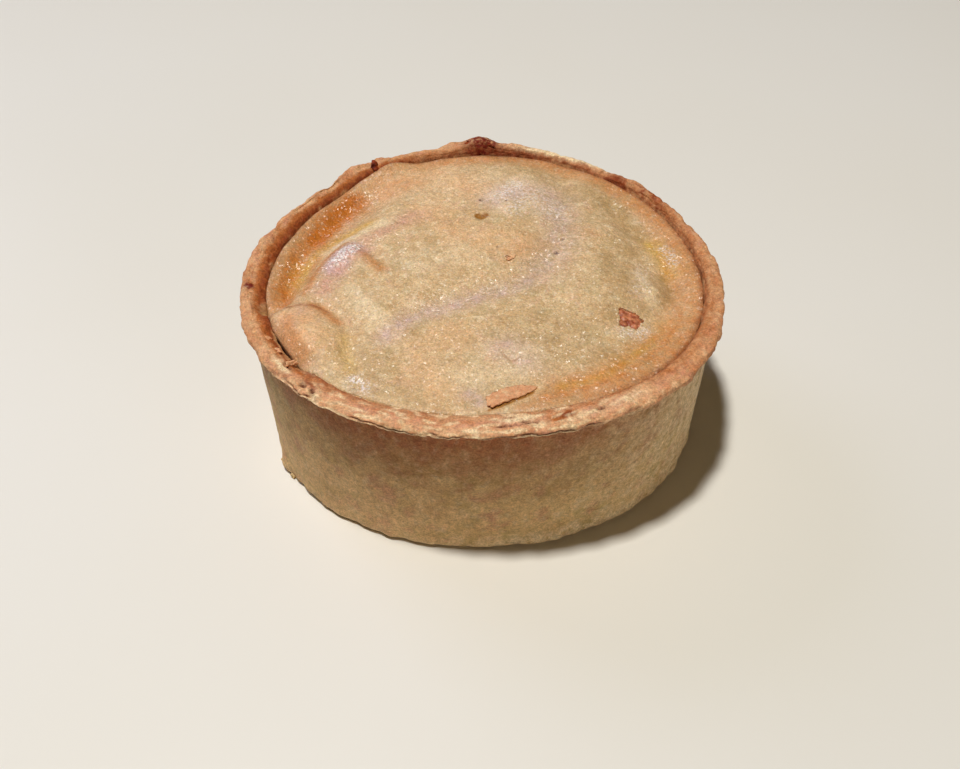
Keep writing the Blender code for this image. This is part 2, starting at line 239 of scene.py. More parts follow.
@dataclass(frozen=True)
class PieShape:
    """The sizes and heights that the pie's pieces share, in metres, before the shift onto the Z axis."""

    rim_radius: float = 0.0482
    rim_height: float = 0.0357
    wall_thickness: float = 0.0036
    floor_thickness: float = 0.0040
    gap: float = 0.0004
    lid_bottom_edge: float = 0.0278
    lid_bottom_centre: float = 0.0318
    shift: tuple[float, float] = (0.0001, -0.0012)
    # Waves of the rim's and the foot's outline: how many, share of the radius, direction of a peak.
    rim_waves: tuple = ((2, 0.0134, 17.8), (3, 0.0226, -30.7), (4, 0.0021, -11.0), (5, 0.0030, 30.5))
    base_waves: tuple = ((2, 0.0040, 7.0), (3, 0.0278, -24.7))
    # Crags on the rim: degrees round, breadth in degrees, rise and push outward in millimetres.
    crags: tuple = (
        (91.0, 5.0, 1.3, 1.0), (99.0, 2.6, 0.3, 0.9), (130.0, 4.5, 0.5, 1.3), (121.0, 2.2, 0.3, 0.8),
        (139.0, 2.0, -0.5, -0.5), (-141.0, 3.0, -0.5, 0.2), (-88.0, 7.0, 0.2, 0.5), (-15.0, 5.0, -0.4, -0.2),
    )
    # Folds and hollows of the lid: x, y, half-length, half-width, turn in degrees, rise; in millimetres.
    lid_bumps: tuple = (
        (-29.0, 4.0, 8.0, 3.4, 60.0, 0.9), (-35.0, -20.6, 8.0, 5.6, -54.0, 1.9),
        (-23.5, 5.4, 4.6, 1.7, -48.0, -0.9), (-30.5, -12.2, 3.8, 1.7, -30.0, -1.1),
        (-26.6, -17.4, 4.0, 1.7, -60.0, -1.0),
        (-25.8, -24.0, 5.0, 2.0, -80.0, -0.9), (-16.0, -27.5, 7.0, 2.4, -65.0, -0.5),
        (-20.5, -13.0, 7.0, 3.2, -50.0, 0.5), (33.0, 18.5, 7.0, 4.0, -55.0, -0.8),
        (28.0, 5.5, 6.0, 3.6, -70.0, -0.8), (34.5, -4.0, 4.2, 3.0, 70.0, 0.8),
        (38.6, -1.8, 5.0, 2.2, 88.0, -0.9), (24.0, -14.0, 9.0, 6.0, 35.0, -0.4),
        (-2.0, 8.0, 14.0, 9.0, 30.0, 0.5), (4.5, 28.0, 9.0, 5.0, 85.0, 0.4), (5.0, -27.0, 8.0, 5.0, 0.0, 0.4),
    )
    valley: Path = ((-19.0, -20.0), (-8.0, -11.3), (4.9, -4.6), (11.9, 1.1), (15.8, 13.0), (17.8, 26.0),
                    (17.9, 38.0))
    valley_depth: float = 0.0008
    valley_width: float = 0.0036
    trough_depth: float = 0.0033

    @property
    def core_radius(self) -> float:
        """Mean radius of the case's inside."""
        return self.rim_radius - 0.0015 - self.wall_thickness

    def outline(self, angle: Array, height: Array | float) -> Array:
        """Give the plan radius at an angle and height, as a share of the mean radius there.

        Args:
            angle: Directions in radians.
            height: Height in metres.

        Returns:
            The share, 1 on a true circle.
        """
        rim = sum(s * np.cos(k * np.radians(degrees_from(angle, peak))) for k, s, peak in self.rim_waves)
        base = sum(s * np.cos(k * np.radians(degrees_from(angle, peak))) for k, s, peak in self.base_waves)
        lift = 0.5 * smooth(height, 0.0, self.rim_height)
        lift = lift + 0.5 * np.clip(np.asarray(height) / self.rim_height, 0.0, 1.0)
        return 1.0 + base + (rim - base) * lift

    def seam_radius(self, angle: Array) -> Array:
        """Give the mean radius at which the lid meets the rim."""
        radius = 44.2 + 1.5 * np.cos(angle - math.radians(65.0)) + 0.4 * np.sin(2.0 * angle)
        return (radius + 0.9 * hump(angle, 133.0, 25.0)) * MM

    def bevel_width(self, angle: Array) -> Array:
        """Give the width of the rim's inner slope, which is broad at the left only."""
        return (0.8 + 1.7 * arc(angle, 172.0, 62.0, 34.0)) * MM

    def trough(self, x: Array, y: Array) -> Array:
        """Give the depth of the crescent trough between the left rim and the lid's fold.

        Args:
            x: Places' x in metres.
            y: Places' y in metres.

        Returns:
            The depth in metres.
        """
        radius, turn = np.hypot(x, y), degrees_from(np.arctan2(y, x), 150.0)
        edge = (31.6 + 0.0044 * turn * turn) * MM
        window = smooth(turn, -36.0, -10.0) * (1.0 - smooth(turn, 45.0, 50.5))
        steep = (1.5 - 0.55 * smooth(turn, 5.0, 40.0)) * MM
        side = 1.0 / (1.0 + np.exp(np.clip((edge - radius) / steep, -60.0, 60.0)))
        return self.trough_depth * window * side

    def relief(self, x: Array, y: Array) -> Array:
        """Give the height of the lid's top over the rim's mean crown.

        Args:
            x: Places' x in metres.
            y: Places' y in metres.

        Returns:
            The height in metres, below 0 where the lid is sunk.
        """
        radius, angle = np.hypot(x, y), np.arctan2(y, x)
        share = radius / (self.outline(angle, self.rim_height) * self.seam_radius(angle))
        height = (0.6 - 1.3 * share ** 4 - 0.7 * smooth(y, 15.0 * MM, 44.0 * MM)) * MM
        height = height - self.trough(x, y)
        right = arc(angle, 2.0, 58.0, 18.0)
        height -= 2.1 * MM * right * np.exp(-(((share - 0.82) / 0.12) ** 2))
        height -= 0.5 * MM * right * smooth(share, 0.6, 0.95)
        left = arc(angle, 155.0, 46.0, 34.0)
        height += 2.7 * MM * left * smooth(share, 0.88, 1.0)
        for cx, cy, length, width, turn, rise in self.lid_bumps:
            height += rise * MM * np.exp(-oval(x, y, cx * MM, cy * MM, length * MM, width * MM, turn))
        distance, along = path_distance(x, y, curve_through(self.valley))
        valley = self.valley_depth * np.exp(-((distance / self.valley_width) ** 2))
        height -= valley * smooth(along, -0.1, 0.15)
        front = arc(angle, -90.0, 50.0, 30.0)
        height += 0.45 * MM * front * smooth(share, 0.85, 1.0)
        gap = arc(angle, -147.0, 13.0, 5.0)
        return height - 2.4 * MM * gap * smooth(share, 0.91, 1.0)

    def lid_top(self, x: Array, y: Array) -> Array:
        """Give the height of the lid's top, with its blisters and wrinkles.

        Args:
            x: Places' x in metres.
            y: Places' y in metres.

        Returns:
            The height over the foot in metres.
        """
        x, y = np.asarray(x, float), np.asarray(y, float)
        places = np.stack([x, y, np.zeros_like(x)], -1)
        fine = 0.26 * lumps(places, 7.0 * MM, 3.0) + 0.13 * lumps(places, 3.0 * MM, 5.0)
        fine = fine + 0.05 * lumps(places, 1.1 * MM, 8.0)
        return self.rim_height + self.relief(x, y) + fine * MM

    def crown(self, angle: Array) -> Array:
        """Give the height of the rim's crown, with its waves and crags."""
        height = self.rim_height + 0.45 * MM * (ragged(angle, 3.0, 1.0) + ragged(angle, 9.0, 4.0))
        return height + sum(rise * MM * hump(angle, at, wide) for at, wide, rise, _ in self.crags)

    def push(self, angle: Array) -> Array:
        """Give the push outward of the lip, with its raggedness and crags."""
        push = 0.35 * MM * ragged(angle, 4.0, 7.0) + 0.45 * MM * ragged(angle, 10.0, 9.0)
        return push + sum(out * MM * hump(angle, at, wide) for at, wide, _, out in self.crags)

    def lip_edge(self, angle: Array) -> Array:
        """Give the height of the lip's lower edge: ragged, and lowest at the front.

        Args:
            angle: Directions in radians.

        Returns:
            The height over the foot in metres.
        """
        front = arc(angle, -105.0, 70.0, 20.0)
        torn = ragged(angle, 5.0, 13.0) + ragged(angle, 11.0, 17.0) + 0.7 * ragged(angle, 38.0, 19.0)
        return self.rim_height - (1.6 - 0.6 * front + 0.4 * torn) * MM

    def wall_radius(self, height: float) -> float:
        """Give the mean radius of the case's wall below the lip, with its rounded foot."""
        foot = max(1.0 - height / (1.5 * MM), 0.0)
        return (45.75 + 0.85 * float(smooth(height, 0.0, 30.0 * MM)) - 0.9 * foot * foot) * MM

    def underside(self, share: Array) -> Array:
        """Give the height of the lid's underside at a share of the core's radius."""
        return self.lid_bottom_centre - (self.lid_bottom_centre - self.lid_bottom_edge) * share * share

    def place(self, x: float, y: float, lift: float = 0.0) -> Vector:
        """Give the point over the lid at (x, y) in millimetres, lifted in millimetres, and shifted.

        Args:
            x: Its x in millimetres, before the shift.
            y: Its y in millimetres, before the shift.
            lift: Its height over the lid's top in millimetres.

        Returns:
            The shifted point in metres.
        """
        top = float(self.lid_top(np.array([x * MM]), np.array([y * MM]))[0])
        return Vector((x * MM + self.shift[0], y * MM + self.shift[1], top + lift * MM))

    def rim_place(self, degrees: float, radius: float, height: float) -> Vector:
        """Give a point by the rim, from its angle and its mean radius and height in millimetres.

        Args:
            degrees: Its direction.
            radius: Its mean radius in millimetres.
            height: Its height in millimetres.

        Returns:
            The shifted point in metres.
        """
        angle = math.radians(degrees)
        around = radius * MM * float(self.outline(np.array(angle), self.rim_height))
        return Vector((around * math.cos(angle) + self.shift[0], around * math.sin(angle) + self.shift[1],
                       height * MM))


# ---------------------------------------------------------------- finishes


def add_node(tree: bpy.types.NodeTree, kind: str, values: dict | None = None, links: dict | None = None,
             **settings: object) -> bpy.types.Node:
    """Add a node with its settings, input values and links.

    Args:
        tree: The material's node tree.
        kind: The node's type.
        values: Input name or number to its value.
        links: Input name or number to the output that feeds it.
        **settings: The node's own properties.

    Returns:
        The new node.
    """
    node = tree.nodes.new(kind)
    for name, value in settings.items():
        setattr(node, name, value)
    for name, value in (values or {}).items():
        node.inputs[name].default_value = value
    for name, socket in (links or {}).items():
        tree.links.new(socket, node.inputs[name])
    return node


@dataclass(frozen=True)
class Layer:
    """A colour laid where a mask is strong: its edge frays by so much, at so many millimetres."""

    mask: str
    colour: str
    strength: float = 1.0
    fray: float = 0.6
    grain: float = 1.6


@dataclass(frozen=True)
class Mottle:
    """Random patches of a colour, so many millimetres broad: a higher floor leaves fewer of them."""

    colour: str
    size: float
    floor: float
    strength: float


@dataclass(frozen=True)
class BakedPastry:
    """Baked hot-water-crust pastry: matt, mealy, mottled, with fat on it where the mask says so."""

    name: str
    light: str
    dark: str
    cloud: float
    layers: tuple[Layer, ...]
    mottles: tuple[Mottle, ...] = ()
    roughness: float = 0.62
    fat_gloss: float = 0.0
    coat: float = 0.0
    meal_depth: float = 0.16
    grain_depth: float = 0.05
    speck: str = "#8a5a34"
    speck_share: float = 0.035
    grain: float = 0.10
    sparkle: float = 0.0
    specular: float = 0.25

    def build(self) -> bpy.types.Material:
        """Build the material's nodes.

        Returns:
            The material.
        """
        material = bpy.data.materials.new(self.name)
        material.use_nodes = True
        tree = material.node_tree
        tree.nodes.clear()
        output = add_node(tree, "ShaderNodeOutputMaterial")
        shader = add_node(tree, "ShaderNodeBsdfPrincipled",
                          {"Roughness": self.roughness, "IOR": 1.45, "Subsurface Weight": 0.10,
                           "Subsurface Radius": (1.0, 0.45, 0.2), "Subsurface Scale": 1.2 * MM,
                           "Specular IOR Level": self.specular,
                           "Coat Weight": self.coat, "Coat Roughness": 0.25, "Coat IOR": 1.5})
        tree.links.new(shader.outputs[0], output.inputs["Surface"])
        where = add_node(tree, "ShaderNodeTexCoord").outputs["Object"]

        def lump(size: float, detail: float = 2.0) -> bpy.types.NodeSocket:
            """Give a noise whose lumps are so many millimetres broad."""
            return add_node(tree, "ShaderNodeTexNoise", {"Scale": 1.0 / (size * MM), "Detail": detail,
                                                         "Roughness": 0.6}, {"Vector": where}).outputs["Fac"]

        def ramp(value: bpy.types.NodeSocket, low: float, high: float, to_low: float,
                 to_high: float) -> bpy.types.NodeSocket:
            """Spread a value to another range."""
            return add_node(tree, "ShaderNodeMapRange", {1: low, 2: high, 3: to_low, 4: to_high},
                            {0: value}).outputs[0]

        def mix(share: bpy.types.NodeSocket, below: bpy.types.NodeSocket | str,
                above: str) -> bpy.types.NodeSocket:
            """Lay a colour over another by a share.

            Args:
                share: How far the upper colour covers.
                below: The colour below, as an output or a hex colour.
                above: The hex colour above.

            Returns:
                The mixed colour's output.
            """
            node = add_node(tree, "ShaderNodeMix", {7: linear(above)}, {0: share}, data_type="RGBA")
            if isinstance(below, str):
                node.inputs[6].default_value = linear(below)
            else:
                tree.links.new(below, node.inputs[6])
            return node.outputs[2]

        # Clouds of paler and darker bake, then the mealy mottle of flour and fat.
        colour = mix(ramp(lump(self.cloud, 3.0), 0.32, 0.68, 0.0, 1.0), self.light, self.dark)
        for mottle in self.mottles:
            patch = ramp(lump(mottle.size, 4.0), mottle.floor, mottle.floor + 0.14, 0.0, mottle.strength)
            colour = mix(patch, colour, mottle.colour)
        for layer in self.layers:
            mask = add_node(tree, "ShaderNodeAttribute", attribute_name=layer.mask).outputs["Fac"]
            fray = ramp(lump(layer.grain, 3.0), 0.3, 0.7, 1.0 - layer.fray, 1.0 + layer.fray)
            share = add_node(tree, "ShaderNodeMath", None, {0: mask, 1: fray}, operation="MULTIPLY")
            share = add_node(tree, "ShaderNodeMath", {1: layer.strength}, {0: share.outputs[0]},
                             operation="MULTIPLY", use_clamp=True)
            colour = mix(share.outputs[0], colour, layer.colour)
        specks = ramp(lump(0.7, 1.0), 0.74 - self.speck_share, 0.78, 0.0, 0.5)
        colour = mix(specks, colour, self.speck)
        for size, depth in ((1.0, 0.6 * self.grain), (0.38, self.grain)):
            meal = ramp(lump(size, 2.0), 0.3, 0.7, 1.0 - depth, 1.0 + depth)
            shade = add_node(tree, "ShaderNodeHueSaturation", {"Saturation": 1.0},
                             {"Value": meal, "Color": colour})
            colour = shade.outputs[0]
        tree.links.new(colour, shader.inputs["Base Color"])

        if self.fat_gloss > 0.0:
            fat = add_node(tree, "ShaderNodeAttribute", attribute_name="fat").outputs["Fac"]
            film = add_node(tree, "ShaderNodeMath", None, {0: fat, 1: ramp(lump(1.8), 0.3, 0.7, 0.6, 1.3)},
                            operation="MULTIPLY", use_clamp=True)
            tree.links.new(ramp(film.outputs[0], 0.0, 1.0, self.roughness, self.roughness - self.fat_gloss),
                           shader.inputs["Roughness"])
            tree.links.new(ramp(film.outputs[0], 0.0, 1.0, 0.25 * self.coat, self.coat),
                           shader.inputs["Coat Weight"])
        coarse = add_node(tree, "ShaderNodeBump", {"Strength": 1.0, "Distance": self.meal_depth * MM},
                          {"Height": lump(1.3, 4.0)})
        fine = add_node(tree, "ShaderNodeBump", {"Strength": 1.0, "Distance": self.grain_depth * MM},
                        {"Height": lump(0.4, 2.0), "Normal": coarse.outputs[0]})
        tree.links.new(fine.outputs[0], shader.inputs["Normal"])
        if self.sparkle > 0.0:
            # The film of fat breaks into small facets, and a few of them glint.
            facets = add_node(tree, "ShaderNodeTexVoronoi", {"Scale": 1.0 / (0.42 * MM)}, {"Vector": where})
            tilt = add_node(tree, "ShaderNodeVectorMath", {1: (0.5, 0.5, 0.5)}, {0: facets.outputs["Color"]},
                            operation="SUBTRACT")
            tilt = add_node(tree, "ShaderNodeVectorMath", {"Scale": self.sparkle}, {0: tilt.outputs[0]},
                            operation="SCALE")
            face = add_node(tree, "ShaderNodeVectorMath", None, {0: tilt.outputs[0], 1: coarse.outputs[0]},
                            operation="ADD")
            face = add_node(tree, "ShaderNodeVectorMath", None, {0: face.outputs[0]}, operation="NORMALIZE")
            tree.links.new(face.outputs[0], shader.inputs["Coat Normal"])
        return material


@dataclass(frozen=True)
class MoistCrumb:
    """A moist, lumpy finish of two colours: packed grains of meat, or juice that baked on."""

    name: str
    light: str
    dark: str
    roughness: float
    grain: float
    spread: tuple[float, float]
    bump: tuple[float, float]
    specular: float = 0.5
    subsurface: tuple[float, float] = (0.0, 0.05)

    def build(self) -> bpy.types.Material:
        """Build the material's nodes.

        Returns:
            The material.
        """
        material = bpy.data.materials.new(self.name)
        material.use_nodes = True
        tree = material.node_tree
        shader = tree.nodes["Principled BSDF"]
        shader.inputs["Roughness"].default_value = self.roughness
        shader.inputs["Specular IOR Level"].default_value = self.specular
        shader.inputs["Subsurface Weight"].default_value = self.subsurface[0]
        shader.inputs["Subsurface Scale"].default_value = self.subsurface[1]
        where = add_node(tree, "ShaderNodeTexCoord").outputs["Object"]
        lump = add_node(tree, "ShaderNodeTexNoise", {"Scale": 1.0 / (self.grain * MM), "Detail": 3.0},
                        {"Vector": where}).outputs["Fac"]
        share = add_node(tree, "ShaderNodeMapRange", {1: self.spread[0], 2: self.spread[1]}, {0: lump})
        mix = add_node(tree, "ShaderNodeMix", {6: linear(self.dark), 7: linear(self.light)},
                       {0: share.outputs[0]}, data_type="RGBA")
        tree.links.new(mix.outputs[2], shader.inputs["Base Color"])
        strength, depth = self.bump
        bump = add_node(tree, "ShaderNodeBump", {"Strength": strength, "Distance": depth * MM},
                        {"Height": lump})
        tree.links.new(bump.outputs[0], shader.inputs["Normal"])
        return material


# Cooked minced meat: moist red-brown grains with darker hollows between them.
COOKED_MINCE = MoistCrumb("Cooked_mince", "#cf8660", "#8c432b", roughness=0.42, grain=0.9,
                          spread=(0.35, 0.62), bump=(1.0, 0.25), subsurface=(0.15, 1.0 * MM))

# Gravy that ran over the rim and burnt on: near black to maroon, dull where it dried.
BURNT_JUICE = MoistCrumb("Burnt_juice", "#9a421c", "#4e180a", roughness=0.6, grain=1.6,
                         spread=(0.4, 0.66), bump=(0.7, 0.2), specular=0.15)

# Colours of the baked case: the wall is floury khaki tan, the rim toasted pink-brown where it stood proud.
CASE_PASTRY = BakedPastry(
    name="Baked_case_pastry", light="#d8b882", dark="#c29c67", cloud=9.0,
    layers=(
        # Painted shade: the wall is darker higher up, and most at the front.
        Layer("upper_wall_shade", "#99693f", 0.75, 0.5, 5.0),
        # Under the lip the wall is browned, and it is also darker with painted shade from the lip's overhang.
        Layer("under_lip_shade_and_browning", "#a0603a", 0.85, 0.4, 2.4),
        # Paler at the foot, partly scuffs and partly painted light bounced from the floor; paler up the whole
        # right of the wall as painted light.
        Layer("foot", "#dfc8a0", 0.85, 0.9, 2.0),
        Layer("rim", "#dcb184", 1.0, 0.15, 2.2),
        Layer("bake", "#c98f62", 0.8, 0.9, 1.5),
        Layer("blush", "#d3977a", 0.55, 0.7, 2.6),
        Layer("toast", "#b06834", 0.95, 0.5, 1.8),
        Layer("scorch", "#8c421c", 1.0, 0.5, 1.2),
        Layer("burnt", "#701f10", 1.0, 0.8, 0.8),
        # Pale flour, and a painted highlight along the back rim's outer top edge.
        Layer("flour_and_highlight", "#ecd3ab", 0.85, 0.6, 1.0),
        # Dark cracks and the dark seam line, with painted shade in the lip's split and inside the seam.
        Layer("cracks_and_painted_shade", "#5c2f1a", 0.9, 0.5, 0.8),
    ),
    mottles=(Mottle("#9c8648", 6.5, 0.50, 0.6), Mottle("#c08068", 5.0, 0.53, 0.6),
             Mottle("#d6c096", 2.4, 0.54, 0.6)),
    roughness=0.66, meal_depth=0.34, grain_depth=0.16, speck_share=0.02, grain=0.26,
)

# A flake that stood clear of the lid and toasted right through.
FLAKE_PASTRY = BakedPastry(
    name="Toasted_flake_pastry", light="#e0ab80", dark="#cf9069", cloud=3.0, layers=(),
    mottles=(Mottle("#e9c79c", 1.6, 0.54, 0.6),), roughness=0.6, meal_depth=0.3, grain_depth=0.12,
    speck_share=0.02, grain=0.16,
)

# The lid is paler, drier in the middle, orange where fat pooled at its edge, khaki and darker with painted
# shade in its dents, with painted lilac sheen, painted highlights and painted glints.
LID_PASTRY = BakedPastry(
    name="Baked_lid_pastry", light="#e2c59b", dark="#c9a77a", cloud=6.0,
    layers=(
        # Khaki-grey tone, darker as painted shade in the dents and grooves.
        Layer("khaki_and_dent_shade", "#b39365", 0.9, 0.5, 3.0),
        # Painted sheen: lilac where the slopes would mirror the window.
        Layer("painted_lilac_sheen", "#cdb1b4", 0.85, 0.7, 2.0),
        # Rose: real pink on the knob's edge, and painted sheen on the crest and at the back.
        Layer("rose_tint_and_sheen", "#d5a08c", 0.8, 0.5, 2.2),
        # Pale: pale bake in places, and painted highlight on the ridges and slopes that face the lamp.
        Layer("pale", "#ecd5b0", 0.85, 0.6, 2.4),
        Layer("yellow", "#dab25c", 0.85, 0.6, 1.8),
        Layer("peach", "#e9b686", 0.85, 0.6, 2.6),
        Layer("orange", "#c5742a", 0.84, 0.35, 2.0),
        Layer("toast", "#a06c2c", 1.0, 0.2, 1.0),
        Layer("brown", "#93502c", 0.9, 0.5, 1.4),
        Layer("burnt", "#4a1d12", 1.0, 0.9, 1.0),
        # Painted glints: white speckles where the fat would glint.
        Layer("painted_glints", "#f3e9e6", 0.75, 3.0, 0.55),
    ),
    mottles=(Mottle("#cc9f6a", 2.8, 0.52, 0.4), Mottle("#bba579", 4.2, 0.50, 0.5),
             Mottle("#dcae94", 3.4, 0.56, 0.4), Mottle("#f0dcb8", 1.8, 0.54, 0.6)),
    roughness=0.50, fat_gloss=0.18, coat=1.0, meal_depth=0.30, grain_depth=0.14, speck_share=0.02,
    sparkle=1.3, grain=0.22, specular=0.4,
)


# ---------------------------------------------------------------- skins


def ringed_mesh(name: str, grid: Array, masks: dict[str, Array],
                shift: tuple[float, float]) -> bpy.types.Mesh:
    """Turn a closed skin round the Z axis and bend it to a grid of places.

    Args:
        name: The mesh's name.
        grid: Places in metres, by angle and then by level from one pole to the other.
        masks: Mask name to its values, in the grid's order.
        shift: Move in x and y, in metres.

    Returns:
        A smooth closed mesh with a float attribute for each mask.
    """
    turns, levels = grid.shape[:2]
    skin = bmesh.new()
    line = [skin.verts.new((0.0 if level in (0, levels - 1) else 1.0, 0.0, float(level)))
            for level in range(levels)]
    edges = [skin.edges.new(pair) for pair in zip(line, line[1:])]
    bmesh.ops.spin(skin, geom=line + edges, cent=(0.0, 0.0, 0.0), axis=(0.0, 0.0, 1.0), dvec=(0.0, 0.0, 0.0),
                   angle=2.0 * math.pi, steps=turns, use_merge=True, use_duplicate=False)
    bmesh.ops.remove_doubles(skin, verts=skin.verts[:], dist=1e-4)
    bmesh.ops.recalc_face_normals(skin, faces=skin.faces[:])
    mesh = bpy.data.meshes.new(name)
    skin.to_mesh(mesh)
    skin.free()
    raw = np.empty(len(mesh.vertices) * 3)
    mesh.vertices.foreach_get("co", raw)
    raw = raw.reshape(-1, 3)
    level = np.rint(raw[:, 2]).astype(int)
    turn = np.rint(np.arctan2(raw[:, 1], raw[:, 0]) / (2.0 * math.pi) * turns).astype(int) % turns
    turn[(level == 0) | (level == levels - 1)] = 0
    places = grid[turn, level] + np.array([shift[0], shift[1], 0.0])
    mesh.vertices.foreach_set("co", places.ravel())
    for mask, values in masks.items():
        layer = mesh.attributes.new(mask, "FLOAT", "POINT")
        layer.data.foreach_set("value", values[turn, level].astype(np.float32))
    mesh.polygons.foreach_set("use_smooth", np.ones(len(mesh.polygons), bool))
    mesh.update()
    closed_outward(mesh)
    return mesh


def closed_outward(mesh: bpy.types.Mesh) -> None:
    """Turn a closed mesh's faces outward where its volume comes out negative.

    Args:
        mesh: The closed mesh, changed in place.
    """
    skin = bmesh.new()
    skin.from_mesh(mesh)
    if skin.calc_volume(signed=True) < 0.0:
        bmesh.ops.reverse_faces(skin, faces=skin.faces[:])
        skin.to_mesh(mesh)
    skin.free()


def blend_rows(controls: Array, stops: Array) -> Array:
    """Draw a smooth line through a few control places.

    Args:
        controls: Control places, with the controls in the second axis.
        stops: Where the line's levels lie, as control numbers with a fraction.

    Returns:
        The line's places, with the levels in the second axis.
    """
    last = controls.shape[1] - 1
    index = np.minimum(stops.astype(int), last - 1)
    t = (stops - index)[None, :, None]
    steps = np.diff(controls, axis=1)
    spans = np.linalg.norm(steps, axis=2).mean(axis=0)[None, :, None] + 1e-9
    slopes = steps / spans
    ways = np.concatenate([slopes[:, :1], (slopes[:, :-1] * spans[:, 1:] + slopes[:, 1:] * spans[:, :-1])
                           / (spans[:, :-1] + spans[:, 1:]), slopes[:, -1:]], axis=1)
    start, end, span = controls[:, index], controls[:, index + 1], spans[:, index]
    return ((2.0 * t ** 3 - 3.0 * t ** 2 + 1.0) * start + (t ** 3 - 2.0 * t ** 2 + t) * span * ways[:, index]
            + (3.0 * t ** 2 - 2.0 * t ** 3) * end + (t ** 3 - t ** 2) * span * ways[:, index + 1])


def layered_places(grid: Array, turn: Array) -> Array:
    """Give places stretched round the pie, so that lumps there come out long and thin."""
    radius = np.hypot(grid[..., 0], grid[..., 1])
    return np.stack([turn * 16.0, radius / (0.9 * MM), grid[..., 2] / (0.6 * MM)], -1)


def grid_normals(grid: Array) -> Array:
    """Give the unit normals of a grid of places that closes round its first axis.

    Args:
        grid: Places in metres, by angle and then by level.

    Returns:
        One unit normal for each place.
    """
    along = np.gradient(grid, axis=1)
    around = np.roll(grid, -1, axis=0) - np.roll(grid, 1, axis=0)
    normal = np.cross(around, along)
    return normal / (np.linalg.norm(normal, axis=2, keepdims=True) + 1e-12)


def show(mesh: bpy.types.Mesh, material: bpy.types.Material, slot: str,
         *stands_for: str) -> bpy.types.Object:
    """Show a finished mesh as a piece of the pie.

    Args:
        mesh: The mesh, in place.
        material: Its finish.
        slot: The record's material slot; not used.
        *stands_for: The solids that the piece replaces.

    Returns:
        The piece's object.
    """
    piece = bpy.data.objects.new(mesh.name, mesh)
    bpy.context.scene.collection.objects.link(piece)
    mesh.materials.clear()
    mesh.materials.append(material)
    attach(piece, "root")
    if stands_for:
        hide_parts(*stands_for)
    LOG.info("%s: %d faces", piece.name, len(mesh.polygons))
    return piece


